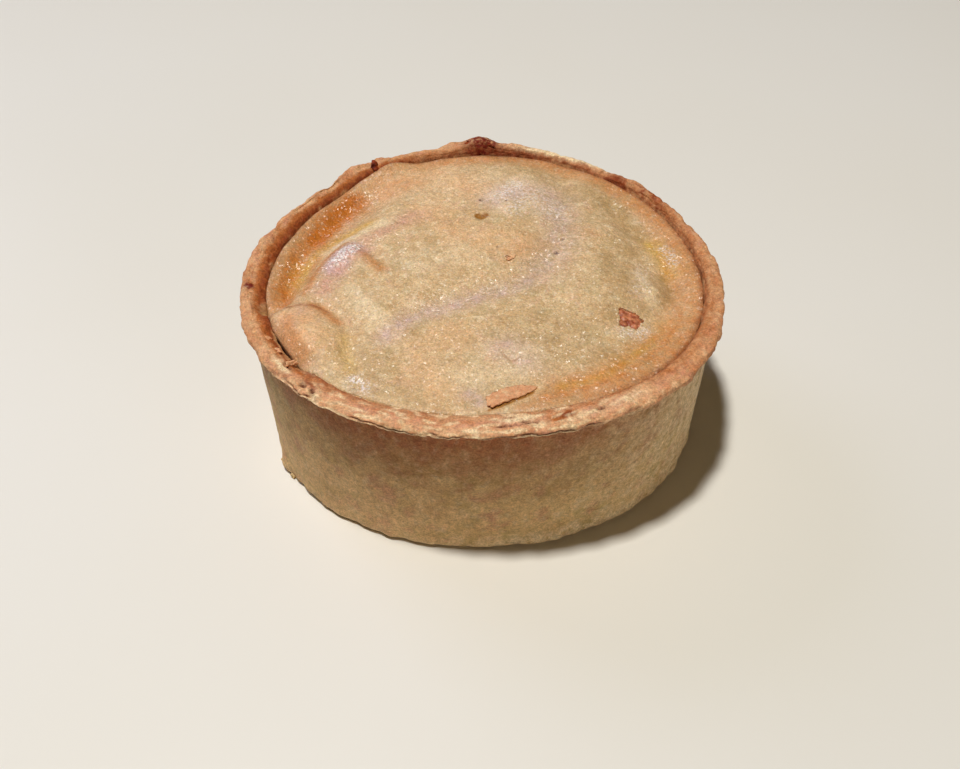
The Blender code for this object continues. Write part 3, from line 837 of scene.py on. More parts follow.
@dataclass
class PastryCase:
    """The raised case: flat foot, straight wall, overhanging lip, toasted rim and the floor inside."""

    shape: PieShape
    # Marks on the rim: mask, degrees round, radius, half-length, half-width in millimetres, strength.
    marks: tuple = (
        ("toast", -71.0, 44.3, 3.0, 1.1, 1.3), ("scorch", -70.6, 44.2, 1.5, 0.65, 1.5),
        ("cracks_and_painted_shade", -62.1, 45.0, 0.6, 0.36, 1.3), ("cracks_and_painted_shade", -133.5, 47.5, 0.8, 0.4, 1.2),
        ("cracks_and_painted_shade", -130.6, 47.3, 0.5, 0.3, 1.0), ("scorch", -132.4, 46.8, 1.6, 0.5, 0.7),
        ("burnt", -173.0, 47.8, 1.0, 0.75, 1.8), ("toast", -174.4, 47.4, 1.9, 1.1, 0.9),
        ("flour_and_highlight", -82.0, 43.4, 3.2, 0.7, 1.3), ("cracks_and_painted_shade", -84.0, 44.9, 2.4, 0.22, 1.3),
        ("cracks_and_painted_shade", -79.0, 44.4, 1.6, 0.22, 1.3), ("cracks_and_painted_shade", -84.0, 42.7, 0.7, 0.16, 1.0),
        ("flour_and_highlight", -66.0, 45.3, 3.0, 0.8, 0.8), ("flour_and_highlight", -55.0, 45.4, 4.0, 0.9, 0.8),
        ("toast", -100.0, 43.6, 9.0, 0.7, 0.55), ("toast", -112.0, 44.6, 6.0, 0.6, 0.5),
        ("toast", -58.0, 43.2, 9.0, 0.5, 0.6), ("cracks_and_painted_shade", -141.5, 46.4, 1.2, 0.35, 0.9),
        ("flour_and_highlight", -142.5, 47.4, 3.0, 0.9, 1.0), ("toast", 64.0, 46.4, 10.0, 0.7, 0.6),
        # The pale mark at 67 degrees is a painted highlight along the back rim's outer top edge.
        ("scorch", 38.0, 47.0, 5.0, 0.5, 0.8), ("flour_and_highlight", 67.0, 47.7, 12.0, 0.7, 1.2),
    )
    turns: int = 800
    # Stretches of the section: first and last control place, and the levels between them.
    levels: tuple = ((0, 2, 4), (2, 9, 42), (9, 18, 64), (18, 24, 9))

    def controls(self, angle: Array) -> Array:
        """Give the case's section at each angle as a few places (radius, height).

        Args:
            angle: Directions in radians.

        Returns:
            Control places, by angle and then from the foot's middle to the floor's.
        """
        s = self.shape
        crown, push, edge = s.crown(angle), s.push(angle), s.lip_edge(angle)
        seam, bevel = s.seam_radius(angle), s.bevel_width(angle)
        around = s.outline(angle, s.rim_height)
        shelf = s.rim_height + s.relief(around * seam * np.cos(angle), around * seam * np.sin(angle))
        shelf = np.minimum(shelf + 0.1 * MM, crown - 0.4 * MM)
        low_push = MM * hump(angle, -151.0, 3.6) + 0.5 * MM * ragged(angle, 5.0, 21.0)
        low_push = low_push + 0.45 * MM * ragged(angle, 19.0, 23.0)
        points = [(0.0 * angle, 0.0 * angle), (20.0 * MM * s.outline(angle, 0.0), 0.0 * angle)]
        for height in np.array([0.0, 0.45, 1.5, 4.0, 10.0, 17.0, 24.0, 30.0]) * MM:
            swell = low_push * smooth(-height, -7.0 * MM, -0.5 * MM)
            points.append((s.wall_radius(height) * s.outline(angle, height) + swell, height + 0.0 * angle))
        points.append(((s.rim_radius - 1.35 * MM) * around + 0.3 * push, edge - 0.7 * MM))
        points.append(((s.rim_radius - 0.45 * MM) * around + push, edge))
        points.append(((s.rim_radius + 0.1 * MM) * around + push, edge + 0.35 * MM))
        points.append((s.rim_radius * around + push, crown - 0.3 * MM))
        points.append(((s.rim_radius - 0.55 * MM) * around + 0.7 * push, crown))
        inner = seam + bevel
        middle = np.maximum(0.5 * (inner + s.rim_radius - 0.75 * MM), inner + 0.2 * MM)
        points.append((middle * around + 0.3 * push, crown))
        points.append((inner * around, crown - 0.15 * MM))
        points.append(((seam + 0.45 * bevel) * around, shelf + 0.5 * (crown - shelf)))
        points.append((seam * around, shelf))
        low = 0.5 * (shelf + s.lid_bottom_edge)
        points.append((0.5 * (seam + s.core_radius) * s.outline(angle, 31.0 * MM), low))
        for height in (s.lid_bottom_edge, 16.0 * MM, s.floor_thickness + 1.6 * MM):
            points.append((s.core_radius * s.outline(angle, height), height + 0.0 * angle))
        floor = s.floor_thickness + 0.0 * angle
        points.append(((s.core_radius - 1.6 * MM) * s.outline(angle, s.floor_thickness), floor))
        points.append((0.0 * angle, floor))
        return np.stack([np.stack(point, -1) for point in points], axis=1)

    def mark(self, grid: Array, turn: Array, jog: Array, at: float, middle: float, length: float,
             width: float) -> Array:
        """Give how strongly a ragged mark on the rim lies over each place.

        Args:
            grid: Places in metres.
            turn: Each place's direction in radians.
            jog: The raggedness of its edge, in millimetres.
            at: Its direction in degrees.
            middle: Its radius in millimetres.
            length: Half its length round the rim, in millimetres.
            width: Half its width across the rim, in millimetres.

        Returns:
            Its strength at each place, 0 to 1.
        """
        along = (np.radians(degrees_from(turn, at)) * middle + jog) / length
        across = (np.hypot(grid[..., 0], grid[..., 1]) / MM - middle + jog) / width
        return np.exp(-along ** 4 - across ** 2) * (grid[..., 2] > self.shape.rim_height - 2.0 * MM)

    def split(self, grid: Array, turn: Array) -> Array:
        """Give the split between the lip's two layers at the front, a groove that is also painted dark as
        shade.

        Args:
            grid: Places in metres.
            turn: Each place's direction in radians.

        Returns:
            How dark the split is at each place, 0 to 1.
        """
        above = (grid[..., 2] - self.shape.lip_edge(turn[:, 0])[:, None]) / MM
        wander = above - 0.60 - 0.22 * lumps(grid, 4.0 * MM, 40.0)
        broken = smooth(lumps(grid, 5.0 * MM, 35.0), -0.3, 0.0)
        front = arc(turn, -100.0, 52.0, 30.0) * broken
        return np.exp(-((wander / 0.16) ** 2)) * front

    def skin(self) -> tuple[Array, Array]:
        """Give the case's fine grid of places and its angles.

        Returns:
            The places in metres, and their directions in radians.
        """
        angle = np.arange(self.turns) * 2.0 * math.pi / self.turns
        stops = [np.linspace(start, end, count, endpoint=False) for start, end, count in self.levels]
        line = blend_rows(self.controls(angle), np.append(np.concatenate(stops), 24.0))
        line[:, :, 0] = np.maximum(line[:, :, 0], 0.0)
        line[:, :, 1] = np.maximum(line[:, :, 1], 0.0)
        grid = np.stack([line[:, :, 0] * np.cos(angle)[:, None], line[:, :, 0] * np.sin(angle)[:, None],
                         line[:, :, 1]], -1)
        radius = np.hypot(grid[..., 0], grid[..., 1])
        outer = smooth(radius, 43.0 * MM, 44.5 * MM) * smooth(grid[..., 2], 0.2 * MM, 1.2 * MM)
        near_rim = smooth(grid[..., 2], 31.0 * MM, 33.5 * MM)
        rough = 0.10 * lumps(grid, 9.0 * MM, 11.0) + 0.05 * lumps(grid, 2.5 * MM, 12.0)
        rough += near_rim * (0.24 * lumps(grid, 2.6 * MM, 13.0) + 0.18 * lumps(grid, 1.1 * MM, 14.0))
        # Thin layers that fray along the lip, longer round the pie than they are deep.
        turn = angle[:, None] + 0.0 * radius
        rough += near_rim * 0.24 * (0.35 - np.abs(lumps(layered_places(grid, turn), 1.0, 15.0)))
        rough -= 0.28 * self.split(grid, turn)
        jog = 0.5 * lumps(grid, 1.3 * MM, 39.0)
        for name, *where, strength in self.marks:
            if name == "cracks_and_painted_shade":
                rough -= 0.4 * strength * self.mark(grid, turn, jog, *where)
        grid = grid + grid_normals(grid) * (rough * outer * MM)[..., None]
        grid[..., 2] = np.maximum(grid[..., 2], 0.0)
        grid[:, 0] = (0.0, 0.0, 0.0)
        grid[:, -1] = (0.0, 0.0, self.shape.floor_thickness)
        return grid, angle

    def masks(self, grid: Array, angle: Array) -> dict[str, Array]:
        """Give where the case is toasted, scorched, burnt or floury, and where shade and light are painted on
        it.

        Args:
            grid: Places in metres.
            angle: Directions in radians.

        Returns:
            Mask name to its strength at each place.
        """
        s, turn = self.shape, angle[:, None] + 0.0 * grid[..., 0]
        around = s.outline(angle, s.rim_height)[:, None]
        radius, height = np.hypot(grid[..., 0], grid[..., 1]) / around, grid[..., 2]
        seam = s.seam_radius(angle)[:, None]
        across = (radius - seam) / (s.rim_radius - seam)
        edge = s.lip_edge(angle)[:, None]
        lip = smooth(height, edge - 0.3 * MM, edge + 0.5 * MM) * smooth(radius, 42.5 * MM, 43.5 * MM)
        patch = 0.5 + 0.9 * lumps(grid, 6.0 * MM, 31.0, 3)
        left = arc(turn, 172.0, 75.0, 40.0)
        right = arc(turn, 10.0, 70.0, 35.0)
        back = arc(turn, 92.0, 50.0, 25.0)
        slope = smooth(-across, -0.62, -0.30)
        toast = lip * (0.12 * left + 0.38 * right + 0.15 * back + left * slope * 0.8 + 0.2 * slope)
        toast += 0.35 * lip * patch * smooth(patch, 0.5, 1.1)
        scorch = lip * (0.6 * left * smooth(-across, -0.42, -0.18) + 0.45 * np.exp(-(across / 0.16) ** 2)
                        + 0.6 * hump(turn, 80.0, 16.0) * smooth(-across, -0.6, -0.2)
                        + 1.0 * hump(turn, 43.0, 14.0) * smooth(patch, 0.2, 0.7))
        burnt = lip * (0.85 * hump(turn, 91.0, 4.4) + 0.5 * hump(turn, 84.0, 5.0) * smooth(patch, 0.4, 0.9))
        flour_and_highlight = 0.6 * smooth(lumps(grid, 1.8 * MM, 33.0, 2), 0.15, 0.6) * (lip * smooth(across, 0.35, 0.8)
                                                                        + 0.25 * (1.0 - lip))
        front = arc(turn, -95.0, 60.0, 20.0)
        reach = (25.5 - 5.0 * front) * MM
        # Under the lip the wall is browned, and it is also darker with painted shade from the lip's overhang,
        # most at the front.
        below = (1.0 - lip) * smooth(height, reach, edge - 0.5 * MM) * (0.5 + 0.6 * front)
        # Painted shade: the wall is darker higher up, and most at the front.
        upper_wall_shade = (1.0 - lip) * smooth(height, 7.0 * MM, 26.0 * MM) * (0.3 + 0.45 * front)
        # Paler at the foot, partly scuffs and partly painted light bounced from the floor; the second term
        # paints light up the whole right of the wall.
        foot = (1.0 - lip) * smooth(-height, -6.0 * MM, -1.0 * MM) * (0.1 + 0.9 * hump(turn, -72.0, 22.0))
        foot += (1.0 - lip) * (0.5 * smooth(-height, -1.6 * MM, -0.6 * MM) + 0.65 * hump(turn, -25.0, 34.0))
        blush = lip * smooth(across, 0.05, 0.5) * (0.5 + 0.5 * smooth(patch, 0.3, 0.8))
        streak = lumps(layered_places(grid, turn), 1.0, 37.0)
        seam_line = lip * np.exp(-((across + 0.02) / 0.07) ** 2) * (0.5 - 0.42 * front)
        seam_line = seam_line * smooth(patch, 0.2, 0.7)
        outer, above = smooth(radius, s.rim_radius - 1.4 * MM, s.rim_radius - 0.6 * MM), (height - edge) / MM
        lamella = outer * np.exp(-(((above - 0.22) / 0.24) ** 2)) * front
        # The seam line is a dark joint; the split under the lip's top layer is painted dark as shade.
        cracks_and_painted_shade = seam_line + outer * self.split(grid, turn)
        flour_and_highlight = flour_and_highlight * (0.4 + 0.6 * front) + lip * 0.7 * front * smooth(-streak, 0.05, 0.4) + 1.3 * lamella
        blush = blush * (0.6 + 1.2 * streak) + lip * front * 0.7 * np.exp(-(((across - 0.4) / 0.25) ** 2))
        found = {"toast": toast, "scorch": scorch, "burnt": burnt, "flour_and_highlight": flour_and_highlight, "cracks_and_painted_shade": cracks_and_painted_shade}
        jog = 0.5 * lumps(grid, 1.3 * MM, 39.0)
        for name, *where, strength in self.marks:
            found[name] = np.maximum(found[name], lip * strength * self.mark(grid, turn, jog, *where))
        # Painted shade: all that lies inside the seam is dark.
        found["cracks_and_painted_shade"][:, sum(count for _, _, count in self.levels[:-1]) + 1:] = 1.0
        bake = lip * (0.5 + 0.8 * lumps(grid, 2.4 * MM, 38.0, 2))
        tanned = 0.4 * (1.0 - lip) * hump(turn, -122.0, 34.0) * smooth(-height, -26.0 * MM, -8.0 * MM)
        found.update({"rim": lip + tanned, "bake": bake, "under_lip_shade_and_browning": below, "upper_wall_shade": upper_wall_shade,
                      "foot": foot, "blush": blush})
        return {name: np.clip(values, 0.0, 1.3) for name, values in found.items()}

    def build(self, finish: BakedPastry) -> bpy.types.Object:
        """Build the case in place of its solid.

        Args:
            finish: The case's pastry.

        Returns:
            The case's object.
        """
        grid, angle = self.skin()
        mesh = ringed_mesh("case_skin", grid, self.masks(grid, angle), self.shape.shift)
        return show(mesh, finish.build(), Slot.CASE.value, "pastry_case")


# Where the lid's colours and its fat lie: golden fat in the troughs, painted lilac sheen and painted glints
# on the slopes, painted highlights on the pale ridges, khaki with painted shade in the dents, brown at the
# holes.
# Each stroke has its path in millimetres, its half-width and its strength.
LID_STROKES: dict[str, tuple[Stroke, ...]] = {
    "orange": (
        Stroke(((-29.4, 27.4), (-31.2, 24.6), (-33.1, 21.2), (-34.9, 17.2), (-36.5, 13.4)), 3.6, 1.3),
        Stroke(((-37.0, 14.5), (-38.6, 9.0), (-40.2, 4.5), (-40.9, -3.0), (-40.4, -9.0)), 3.0, 0.95),
        Stroke(((-34.8, 7.0), (-36.0, 1.0), (-35.4, -4.0)), 1.1, 0.5),
        Stroke(((-33.4, -12.0), (-31.0, -13.8), (-28.8, -16.6)), 1.5, 0.8),
        Stroke(((-35.9, -8.0), (-35.0, -4.1), (-33.6, 1.4), (-32.0, 4.9), (-29.2, 8.2)), 0.95, 0.75),
        Stroke(((-25.4, 4.6), (-23.2, 2.0), (-21.2, -0.5)), 1.4, 0.6),
        Stroke(((-27.9, 31.2), (-24.5, 33.0), (-21.0, 29.5)), 3.4, 0.35),
        Stroke(((-38.2, -17.0), (-36.7, -21.2), (-33.8, -25.7)), 1.6, 0.45),
        Stroke(((-19.8, 39.8), (-24.0, 34.0), (-17.9, 32.3)), 4.5, 0.4),
        Stroke(((4.9, 4.2), (9.8, 6.6)), 2.6, 0.22),
        Stroke(((39.0, 20.0), (42.3, 8.0), (42.5, 0.0), (40.8, -7.5), (37.0, -14.5), (32.0, -21.5),
                (27.0, -27.6), (21.0, -32.0), (14.0, -34.8)), 3.4, 0.62),
        Stroke(((38.5, 9.0), (39.0, 3.0), (40.5, -5.0), (37.5, -12.5)), 1.8, 0.5),
        Stroke(((14.0, -37.5), (7.0, -39.4)), 1.4, 0.5),
        Stroke(((23.5, 12.0), (20.0, 14.5)), 2.0, 0.2),
        Stroke(((10.6, -37.6), (13.6, -36.0), (19.2, -34.4), (23.7, -32.0), (29.4, -27.0), (34.0, -21.5),
                (38.6, -13.5)), 1.9, 0.75),
    ),
    "yellow": (
        Stroke(((14.1, -34.2), (19.3, -32.6), (22.7, -30.6), (27.5, -26.2), (33.0, -19.0)), 1.1, 0.75),
        Stroke(((-25.1, 16.8), (-28.8, 14.2), (-32.4, 12.3), (-34.9, 9.6), (-37.0, 5.0), (-38.2, 0.0),
                (-38.2, -5.0)), 1.9, 0.85),
        Stroke(((-38.0, 4.5), (-38.6, 1.0), (-38.6, -3.0)), 2.4, 1.2),
        Stroke(((36.4, 12.5), (37.6, 9.9), (38.7, 5.8), (39.2, 3.5)), 2.2),
        Stroke(((-26.6, -21.1), (-25.7, -25.9), (-24.7, -29.8)), 1.6, 0.4),
        Stroke(((24.0, -29.5), (30.0, -23.0), (36.0, -14.5)), 2.2, 0.35),
    ),
    # Pale: pale bake in places, and painted highlight on the ridges and slopes that face the lamp.
    "pale": (
        Stroke(((-21.5, 16.2), (-25.1, 14.0), (-28.6, 10.6), (-31.6, 8.9), (-33.6, 7.6)), 1.7, 1.3),
        Stroke(((-28.8, 24.0), (-30.4, 18.8), (-33.0, 14.0), (-35.4, 10.6), (-37.0, 7.0)), 0.9, 0.8),
        Stroke(((-26.5, -7.0), (-24.0, -10.6), (-20.5, -15.8)), 2.0, 0.8),
        Stroke(((2.5, 27.5), (4.9, 30.0), (8.0, 33.0)), 3.2, 0.6),
        Stroke(((31.7, 0.5), (33.7, -5.2), (33.9, -8.2)), 1.4, 0.6),
        Stroke(((30.4, -16.8), (29.4, -18.0)), 1.2, 0.5),
        Stroke(((7.8, -26.8), (2.0, -31.0), (-4.0, -33.0)), 3.4, 0.5),
        Stroke(((-4.9, 4.0), (-11.8, 0.4)), 4.5, 0.35),
        Stroke(((-14.0, 30.0), (0.0, 34.0)), 7.0, 0.4),
        Stroke(((-32.2, -18.7), (-33.3, -23.0)), 2.4, 0.35),
        Stroke(((-42.6, 8.0), (-43.2, -3.0)), 1.2, 0.35),
    ),
    # Rose: real pink on the knob's edge, and painted sheen on the crest and at the back.
    "rose_tint_and_sheen": (
        Stroke(((-25.4, 7.4), (-28.3, 3.0), (-30.2, -2.3), (-32.4, -7.5)), 2.4, 0.8),
        Stroke(((-25.0, 9.6), (-21.4, 13.2), (-18.5, 15.2), (-14.0, 18.5)), 2.4, 0.7),
        Stroke(((2.0, 29.5), (8.0, 31.0)), 3.2, 0.4),
        Stroke(((-35.0, -14.0), (-37.0, -18.0)), 2.5, 0.5),
    ),
    # Painted sheen: lilac along the crest, the valley and the back.
    "painted_lilac_sheen": (
        Stroke(((-27.4, 5.4), (-29.6, 3.0), (-30.4, -0.6)), 2.3, 1.4),
        Stroke(((-18.7, -21.1), (-15.8, -17.4), (-13.8, -15.2)), 2.2, 0.55),
        Stroke(((4.0, -24.5), (7.5, -27.5)), 3.4, 0.45),
        Stroke(((-3.0, -36.0), (-0.5, -38.0)), 1.6, 0.45),
        Stroke(((2.0, 25.0), (8.0, 29.0)), 3.6, 0.55),
        Stroke(((-11.0, -13.8), (-4.9, -11.0), (0.0, -8.3), (4.9, -6.0), (9.8, -3.0)), 2.6, 0.42),
        Stroke(((12.0, 0.0), (14.5, 5.0), (16.0, 10.5), (16.8, 17.6), (15.5, 24.7),
                (13.0, 29.0)), 4.6, 0.34),
    ),
    # Khaki-grey tone, darker as painted shade in the dents and grooves at the right and the front.
    "khaki_and_dent_shade": (
        Stroke(((22.0, 31.0), (26.0, 28.0), (31.0, 23.0), (33.5, 16.0)), 4.5, 0.7),
        Stroke(((29.7, 8.5), (28.0, 1.0), (29.6, -5.2), (26.0, -12.0)), 4.2, 0.65),
        Stroke(((37.6, 1.1), (38.4, -2.5), (36.6, -7.0)), 1.9, 0.95),
        Stroke(((14.0, -21.6), (7.8, -21.9), (3.9, -18.9)), 2.6, 0.5),
        Stroke(((20.0, -20.0), (10.0, -15.0), (24.0, -25.0)), 4.0, 0.35),
        Stroke(((-13.0, -21.0), (-11.0, -30.0)), 2.2, 0.4),
        Stroke(((-20.0, -30.0), (-4.0, -32.0), (12.0, -29.0)), 7.0, 0.3),
        Stroke(((6.0, 41.0), (12.0, 38.5), (18.0, 35.0)), 4.0, 0.45),
    ),
    "peach": (
        Stroke(((-39.0, -16.5), (-37.6, -20.0), (-35.0, -24.0)), 2.6),
        Stroke(((-35.0, -17.5), (-32.5, -22.5)), 4.5, 0.75),
        Stroke(((-22.0, 31.0), (-10.0, 36.0), (-4.0, 30.0)), 5.0, 0.55),
        Stroke(((-12.0, 22.0), (-6.0, 12.0), (6.0, 8.0)), 5.0, 0.45),
        Stroke(((-4.0, -20.0), (-12.0, -26.0), (-8.0, -36.0)), 4.0, 0.4),
    ),
    "toast": (
        Stroke(((-1.3, 18.3), (-0.6, 17.9), (0.2, 18.4)), 0.75, 2.2),
        # Painted shadow: a dark line on the lid along the raised flake's front edge.
        Stroke(((1.2, -40.3), (3.7, -39.1), (5.5, -38.0), (7.3, -37.0), (9.2, -35.6)), 0.32, 1.3),
    ),
    "brown": (
        Stroke(((-41.6, -15.5), (-40.4, -13.6), (-38.0, -12.8), (-34.0, -12.0), (-30.6, -13.4)), 0.5, 0.7),
        Stroke(((37.5, 28.0), (34.5, 33.2), (29.0, 38.6), (22.0, 42.0)), 1.9, 0.95),
        Stroke(((3.5, 46.0), (12.0, 44.6), (20.0, 41.5)), 1.4, 0.6),
        Stroke(((3.9, -26.9), (5.4, -28.3), (6.9, -27.4)), 0.3, 0.5),
    ),
    "burnt": (
        Stroke(((-0.7, 24.6),), 0.36, 2.0),
        Stroke(((4.9, 24.0),), 0.3, 1.2),
        Stroke(((16.8, 11.0),), 0.3),
        Stroke(((15.2, 6.2),), 0.36, 2.2),
        Stroke(((2.9, 6.7),), 0.3),
        Stroke(((1.0, 46.2), (5.0, 46.0)), 1.2, 0.9),
    ),
    # Painted glints: white speckles where the fat would glint.
    "painted_glints": (
        Stroke(((-30.4, 1.6), (-29.0, 4.2), (-27.2, 6.4)), 1.6, 0.95),
        Stroke(((3.5, 26.5), (7.5, 31.0)), 2.6, 0.42),
        Stroke(((7.0, 22.0), (11.0, 27.0), (15.0, 21.0)), 3.5, 0.28),
        Stroke(((31.0, -6.0), (32.5, -2.0), (33.5, 2.0)), 2.0, 0.15),
        Stroke(((38.4, 11.0), (39.4, 8.2), (40.0, 5.6)), 1.2, 0.36),
        Stroke(((-23.6, -32.8), (-21.4, -35.0)), 1.2, 0.5),
        Stroke(((27.4, -17.8), (30.0, -18.4), (31.6, -16.4)), 1.5, 0.28),
        Stroke(((-28.5, 11.6), (-31.4, 9.6)), 0.8, 0.5),
    ),
    "fat": (
        Stroke(((-26.4, 27.5), (-30.8, 22.0), (-35.6, 13.0), (-38.6, 3.0), (-38.6, -4.0)), 3.2),
        Stroke(((-27.0, 6.5), (-29.4, 2.6), (-30.0, -1.0)), 2.2, 1.2),
        Stroke(((38.0, 11.5), (39.6, 6.5)), 2.2, 1.4),
        Stroke(((-23.6, -32.8), (-20.8, -35.4)), 2.4, 1.4),
        Stroke(((-31.3, 3.6), (-28.9, 5.4), (-31.8, -1.4)), 2.0, 1.5),
        Stroke(((12.0, -22.0), (22.0, -26.0), (30.0, -21.0)), 5.0, 0.5),
        Stroke(((-10.0, -12.0), (5.0, -5.0), (16.0, 12.0), (16.0, 26.0)), 3.5, 0.5),
    ),
}


@dataclass
class PastryLid:
    """The sunk lid: its folds, troughs and blisters, its tear, its vent and its pin-holes."""

    shape: PieShape
    turns: int = 640
    rings: int = 136
    tear: Path = ((26.6, -11.7), (28.0, -11.5), (29.6, -12.1), (31.0, -12.7), (31.8, -13.5), (30.8, -14.6),
                  (30.5, -15.8), (29.9, -17.1), (29.1, -16.5), (28.4, -16.0), (27.6, -16.6), (26.5, -16.5),
                  (26.5, -15.2), (26.9, -13.8), (26.5, -12.9))
    # The vent and the pin-holes are dimples: x, y, radius and depth in millimetres.
    vent: tuple = (-0.6, 18.0, 1.25, 0.35)
    pins: Path = ((-0.7, 24.6), (4.9, 24.0), (16.8, 11.0), (15.2, 6.2), (2.9, 6.7))
    under_levels: int = 9
    side_shares: tuple = (1.0, 0.75, 0.5, 0.25, 0.06)
    edge_drops: tuple = (0.42, 0.18, 0.05, 0.0)

    def skin(self) -> tuple[Array, Array]:
        """Give the lid's fine grid of places, from the underside's middle to the top's, and its angles.

        Returns:
            The places in metres, and their directions in radians.
        """
        s = self.shape
        angle = np.arange(self.turns) * 2.0 * math.pi / self.turns
        c, n = np.cos(angle)[:, None], np.sin(angle)[:, None]
        core = ((s.core_radius - s.gap) * s.outline(angle, 31.0 * MM))[:, None]
        shares = np.linspace(0.0, 1.0, self.under_levels)[None, :]
        under = core * shares
        parts = [np.stack([under * c, under * n, s.underside(shares) + 0.0 * under], -1)]
        # The seam is tight, but for the open gap at the front left.
        opening = arc(angle, -148.0, 9.5, 4.0)
        front = arc(angle, -88.0, 52.0, 32.0)
        clearance = (0.06 + 0.42 * opening + 0.12 * (ragged(angle, 9.0, 41.0) + 0.5) - 0.1 * front) * MM
        rim = ((s.seam_radius(angle) - clearance) * s.outline(angle, s.rim_height))[:, None]
        top_share = 1.0 - (1.0 - np.linspace(0.0, 1.0, self.rings)) ** 1.05
        out = rim * top_share[None, ::-1]
        height = s.lid_top(out * c, out * n)
        for x, y, size, depth in [self.vent] + [(*pin, 0.3, 0.3) for pin in self.pins]:
            distance = np.hypot(out * c - x * MM, out * n - y * MM)
            height = height - depth * MM * np.exp(-((distance / (size * MM)) ** 4))
        side_share = np.array(self.side_shares)[None, :]
        edge_height = height[:, :1] - 0.5 * MM
        side = core * side_share + rim * (1.0 - side_share)
        side_height = s.lid_bottom_edge * side_share + edge_height * (1.0 - side_share)
        parts.append(np.stack([side * c, side * n, side_height], -1)[:, 1:])
        drop = np.zeros((1, self.rings))
        drop[0, :len(self.edge_drops)] = self.edge_drops
        drop = drop * (1.0 - 0.85 * front)[:, None]
        parts.append(np.stack([out * c, out * n, height - drop * MM], -1))
        grid = np.concatenate(parts, axis=1)
        grid[:, 0] = grid[:, 0].mean(axis=0)
        grid[:, -1] = grid[:, -1].mean(axis=0)
        return grid, angle

    def masks(self, grid: Array, angle: Array) -> dict[str, Array]:
        """Give where the lid is orange, yellow, pale or browned, burnt or fatty, and where shade, sheen,
        highlights and glints are painted.

        Args:
            grid: Places in metres.
            angle: Directions in radians.

        Returns:
            Mask name to its strength at each place.
        """
        s = self.shape
        x, y = grid[..., 0], grid[..., 1]
        found = {name: np.maximum.reduce([stroke.over(x, y) for stroke in strokes])
                 for name, strokes in LID_STROKES.items()}
        around = s.outline(angle, s.rim_height)[:, None]
        share = np.hypot(x, y) / (around * s.seam_radius(angle)[:, None])
        turn = angle[:, None] + 0.0 * x
        ring = smooth(share, 0.955, 0.998)
        front = arc(turn, -95.0, 60.0, 30.0)
        left = arc(turn, 172.0, 70.0, 40.0)
        found["brown"] = np.maximum(found["brown"], ring * (0.7 - 0.6 * front - 0.3 * left))
        right = smooth(degrees_from(turn, 35.0), -112.0, -95.0)
        found["orange"] = np.maximum(found["orange"], 0.62 * smooth(share, 0.85, 0.95) * (1.0 - left) * right)
        # Painted shade: the lid's side down in the seam is dark, in the burnt colour.
        found["burnt"][:, self.under_levels:self.under_levels + 3] = 1.0
        found["fat"] = np.clip(found["fat"] + 0.38, 0.0, 1.4)
        return {name: np.clip(values, 0.0, 1.4) for name, values in found.items()}

    def cutter(self) -> bpy.types.Object:
        """Give the solid that opens the tear.

        Returns:
            The cutter's object, to be removed after the cut.
        """
        s, cut = self.shape, bmesh.new()
        middle = np.mean(np.array(self.tear), axis=0)
        floor = cut.faces.new([cut.verts.new(s.place(x, y, -6.0)) for x, y in self.tear])
        fine = bmesh.ops.subdivide_edges(cut, edges=floor.edges[:], cuts=3)
        for vertex in [item for item in fine["geom_inner"] if isinstance(item, bmesh.types.BMVert)]:
            away = Vector((vertex.co.x - middle[0] * MM, vertex.co.y - middle[1] * MM, 0.0)).normalized()
            vertex.co += away * 0.45 * MM * (noise.noise(vertex.co * 2300.0) + noise.noise(vertex.co * 800.0))
        lifted = bmesh.ops.extrude_face_region(cut, geom=[floor])
        for vertex in [item for item in lifted["geom"] if isinstance(item, bmesh.types.BMVert)]:
            vertex.co.z = 40.0 * MM
        bmesh.ops.recalc_face_normals(cut, faces=cut.faces[:])
        mesh = bpy.data.meshes.new("lid_cutter")
        cut.to_mesh(mesh)
        cut.free()
        made = bpy.data.objects.new("lid_cutter", mesh)
        bpy.context.scene.collection.objects.link(made)
        return made

    def build(self, finish: BakedPastry) -> bpy.types.Object:
        """Build the lid in place of its solid, with its tear cut.

        Args:
            finish: The lid's pastry.

        Returns:
            The lid's object.
        """
        grid, angle = self.skin()
        mesh = ringed_mesh("lid_skin", grid, self.masks(grid, angle), self.shape.shift)
        piece = show(mesh, finish.build(), Slot.LID.value, "pastry_lid")
        cutter = self.cutter()
        opened = piece.modifiers.new("holes", "BOOLEAN")
        opened.operation, opened.solver, opened.object = "DIFFERENCE", "EXACT", cutter
        bpy.context.view_layer.objects.active = piece
        bpy.ops.object.modifier_apply(modifier=opened.name)
        bpy.data.objects.remove(cutter, do_unlink=True)
        return piece


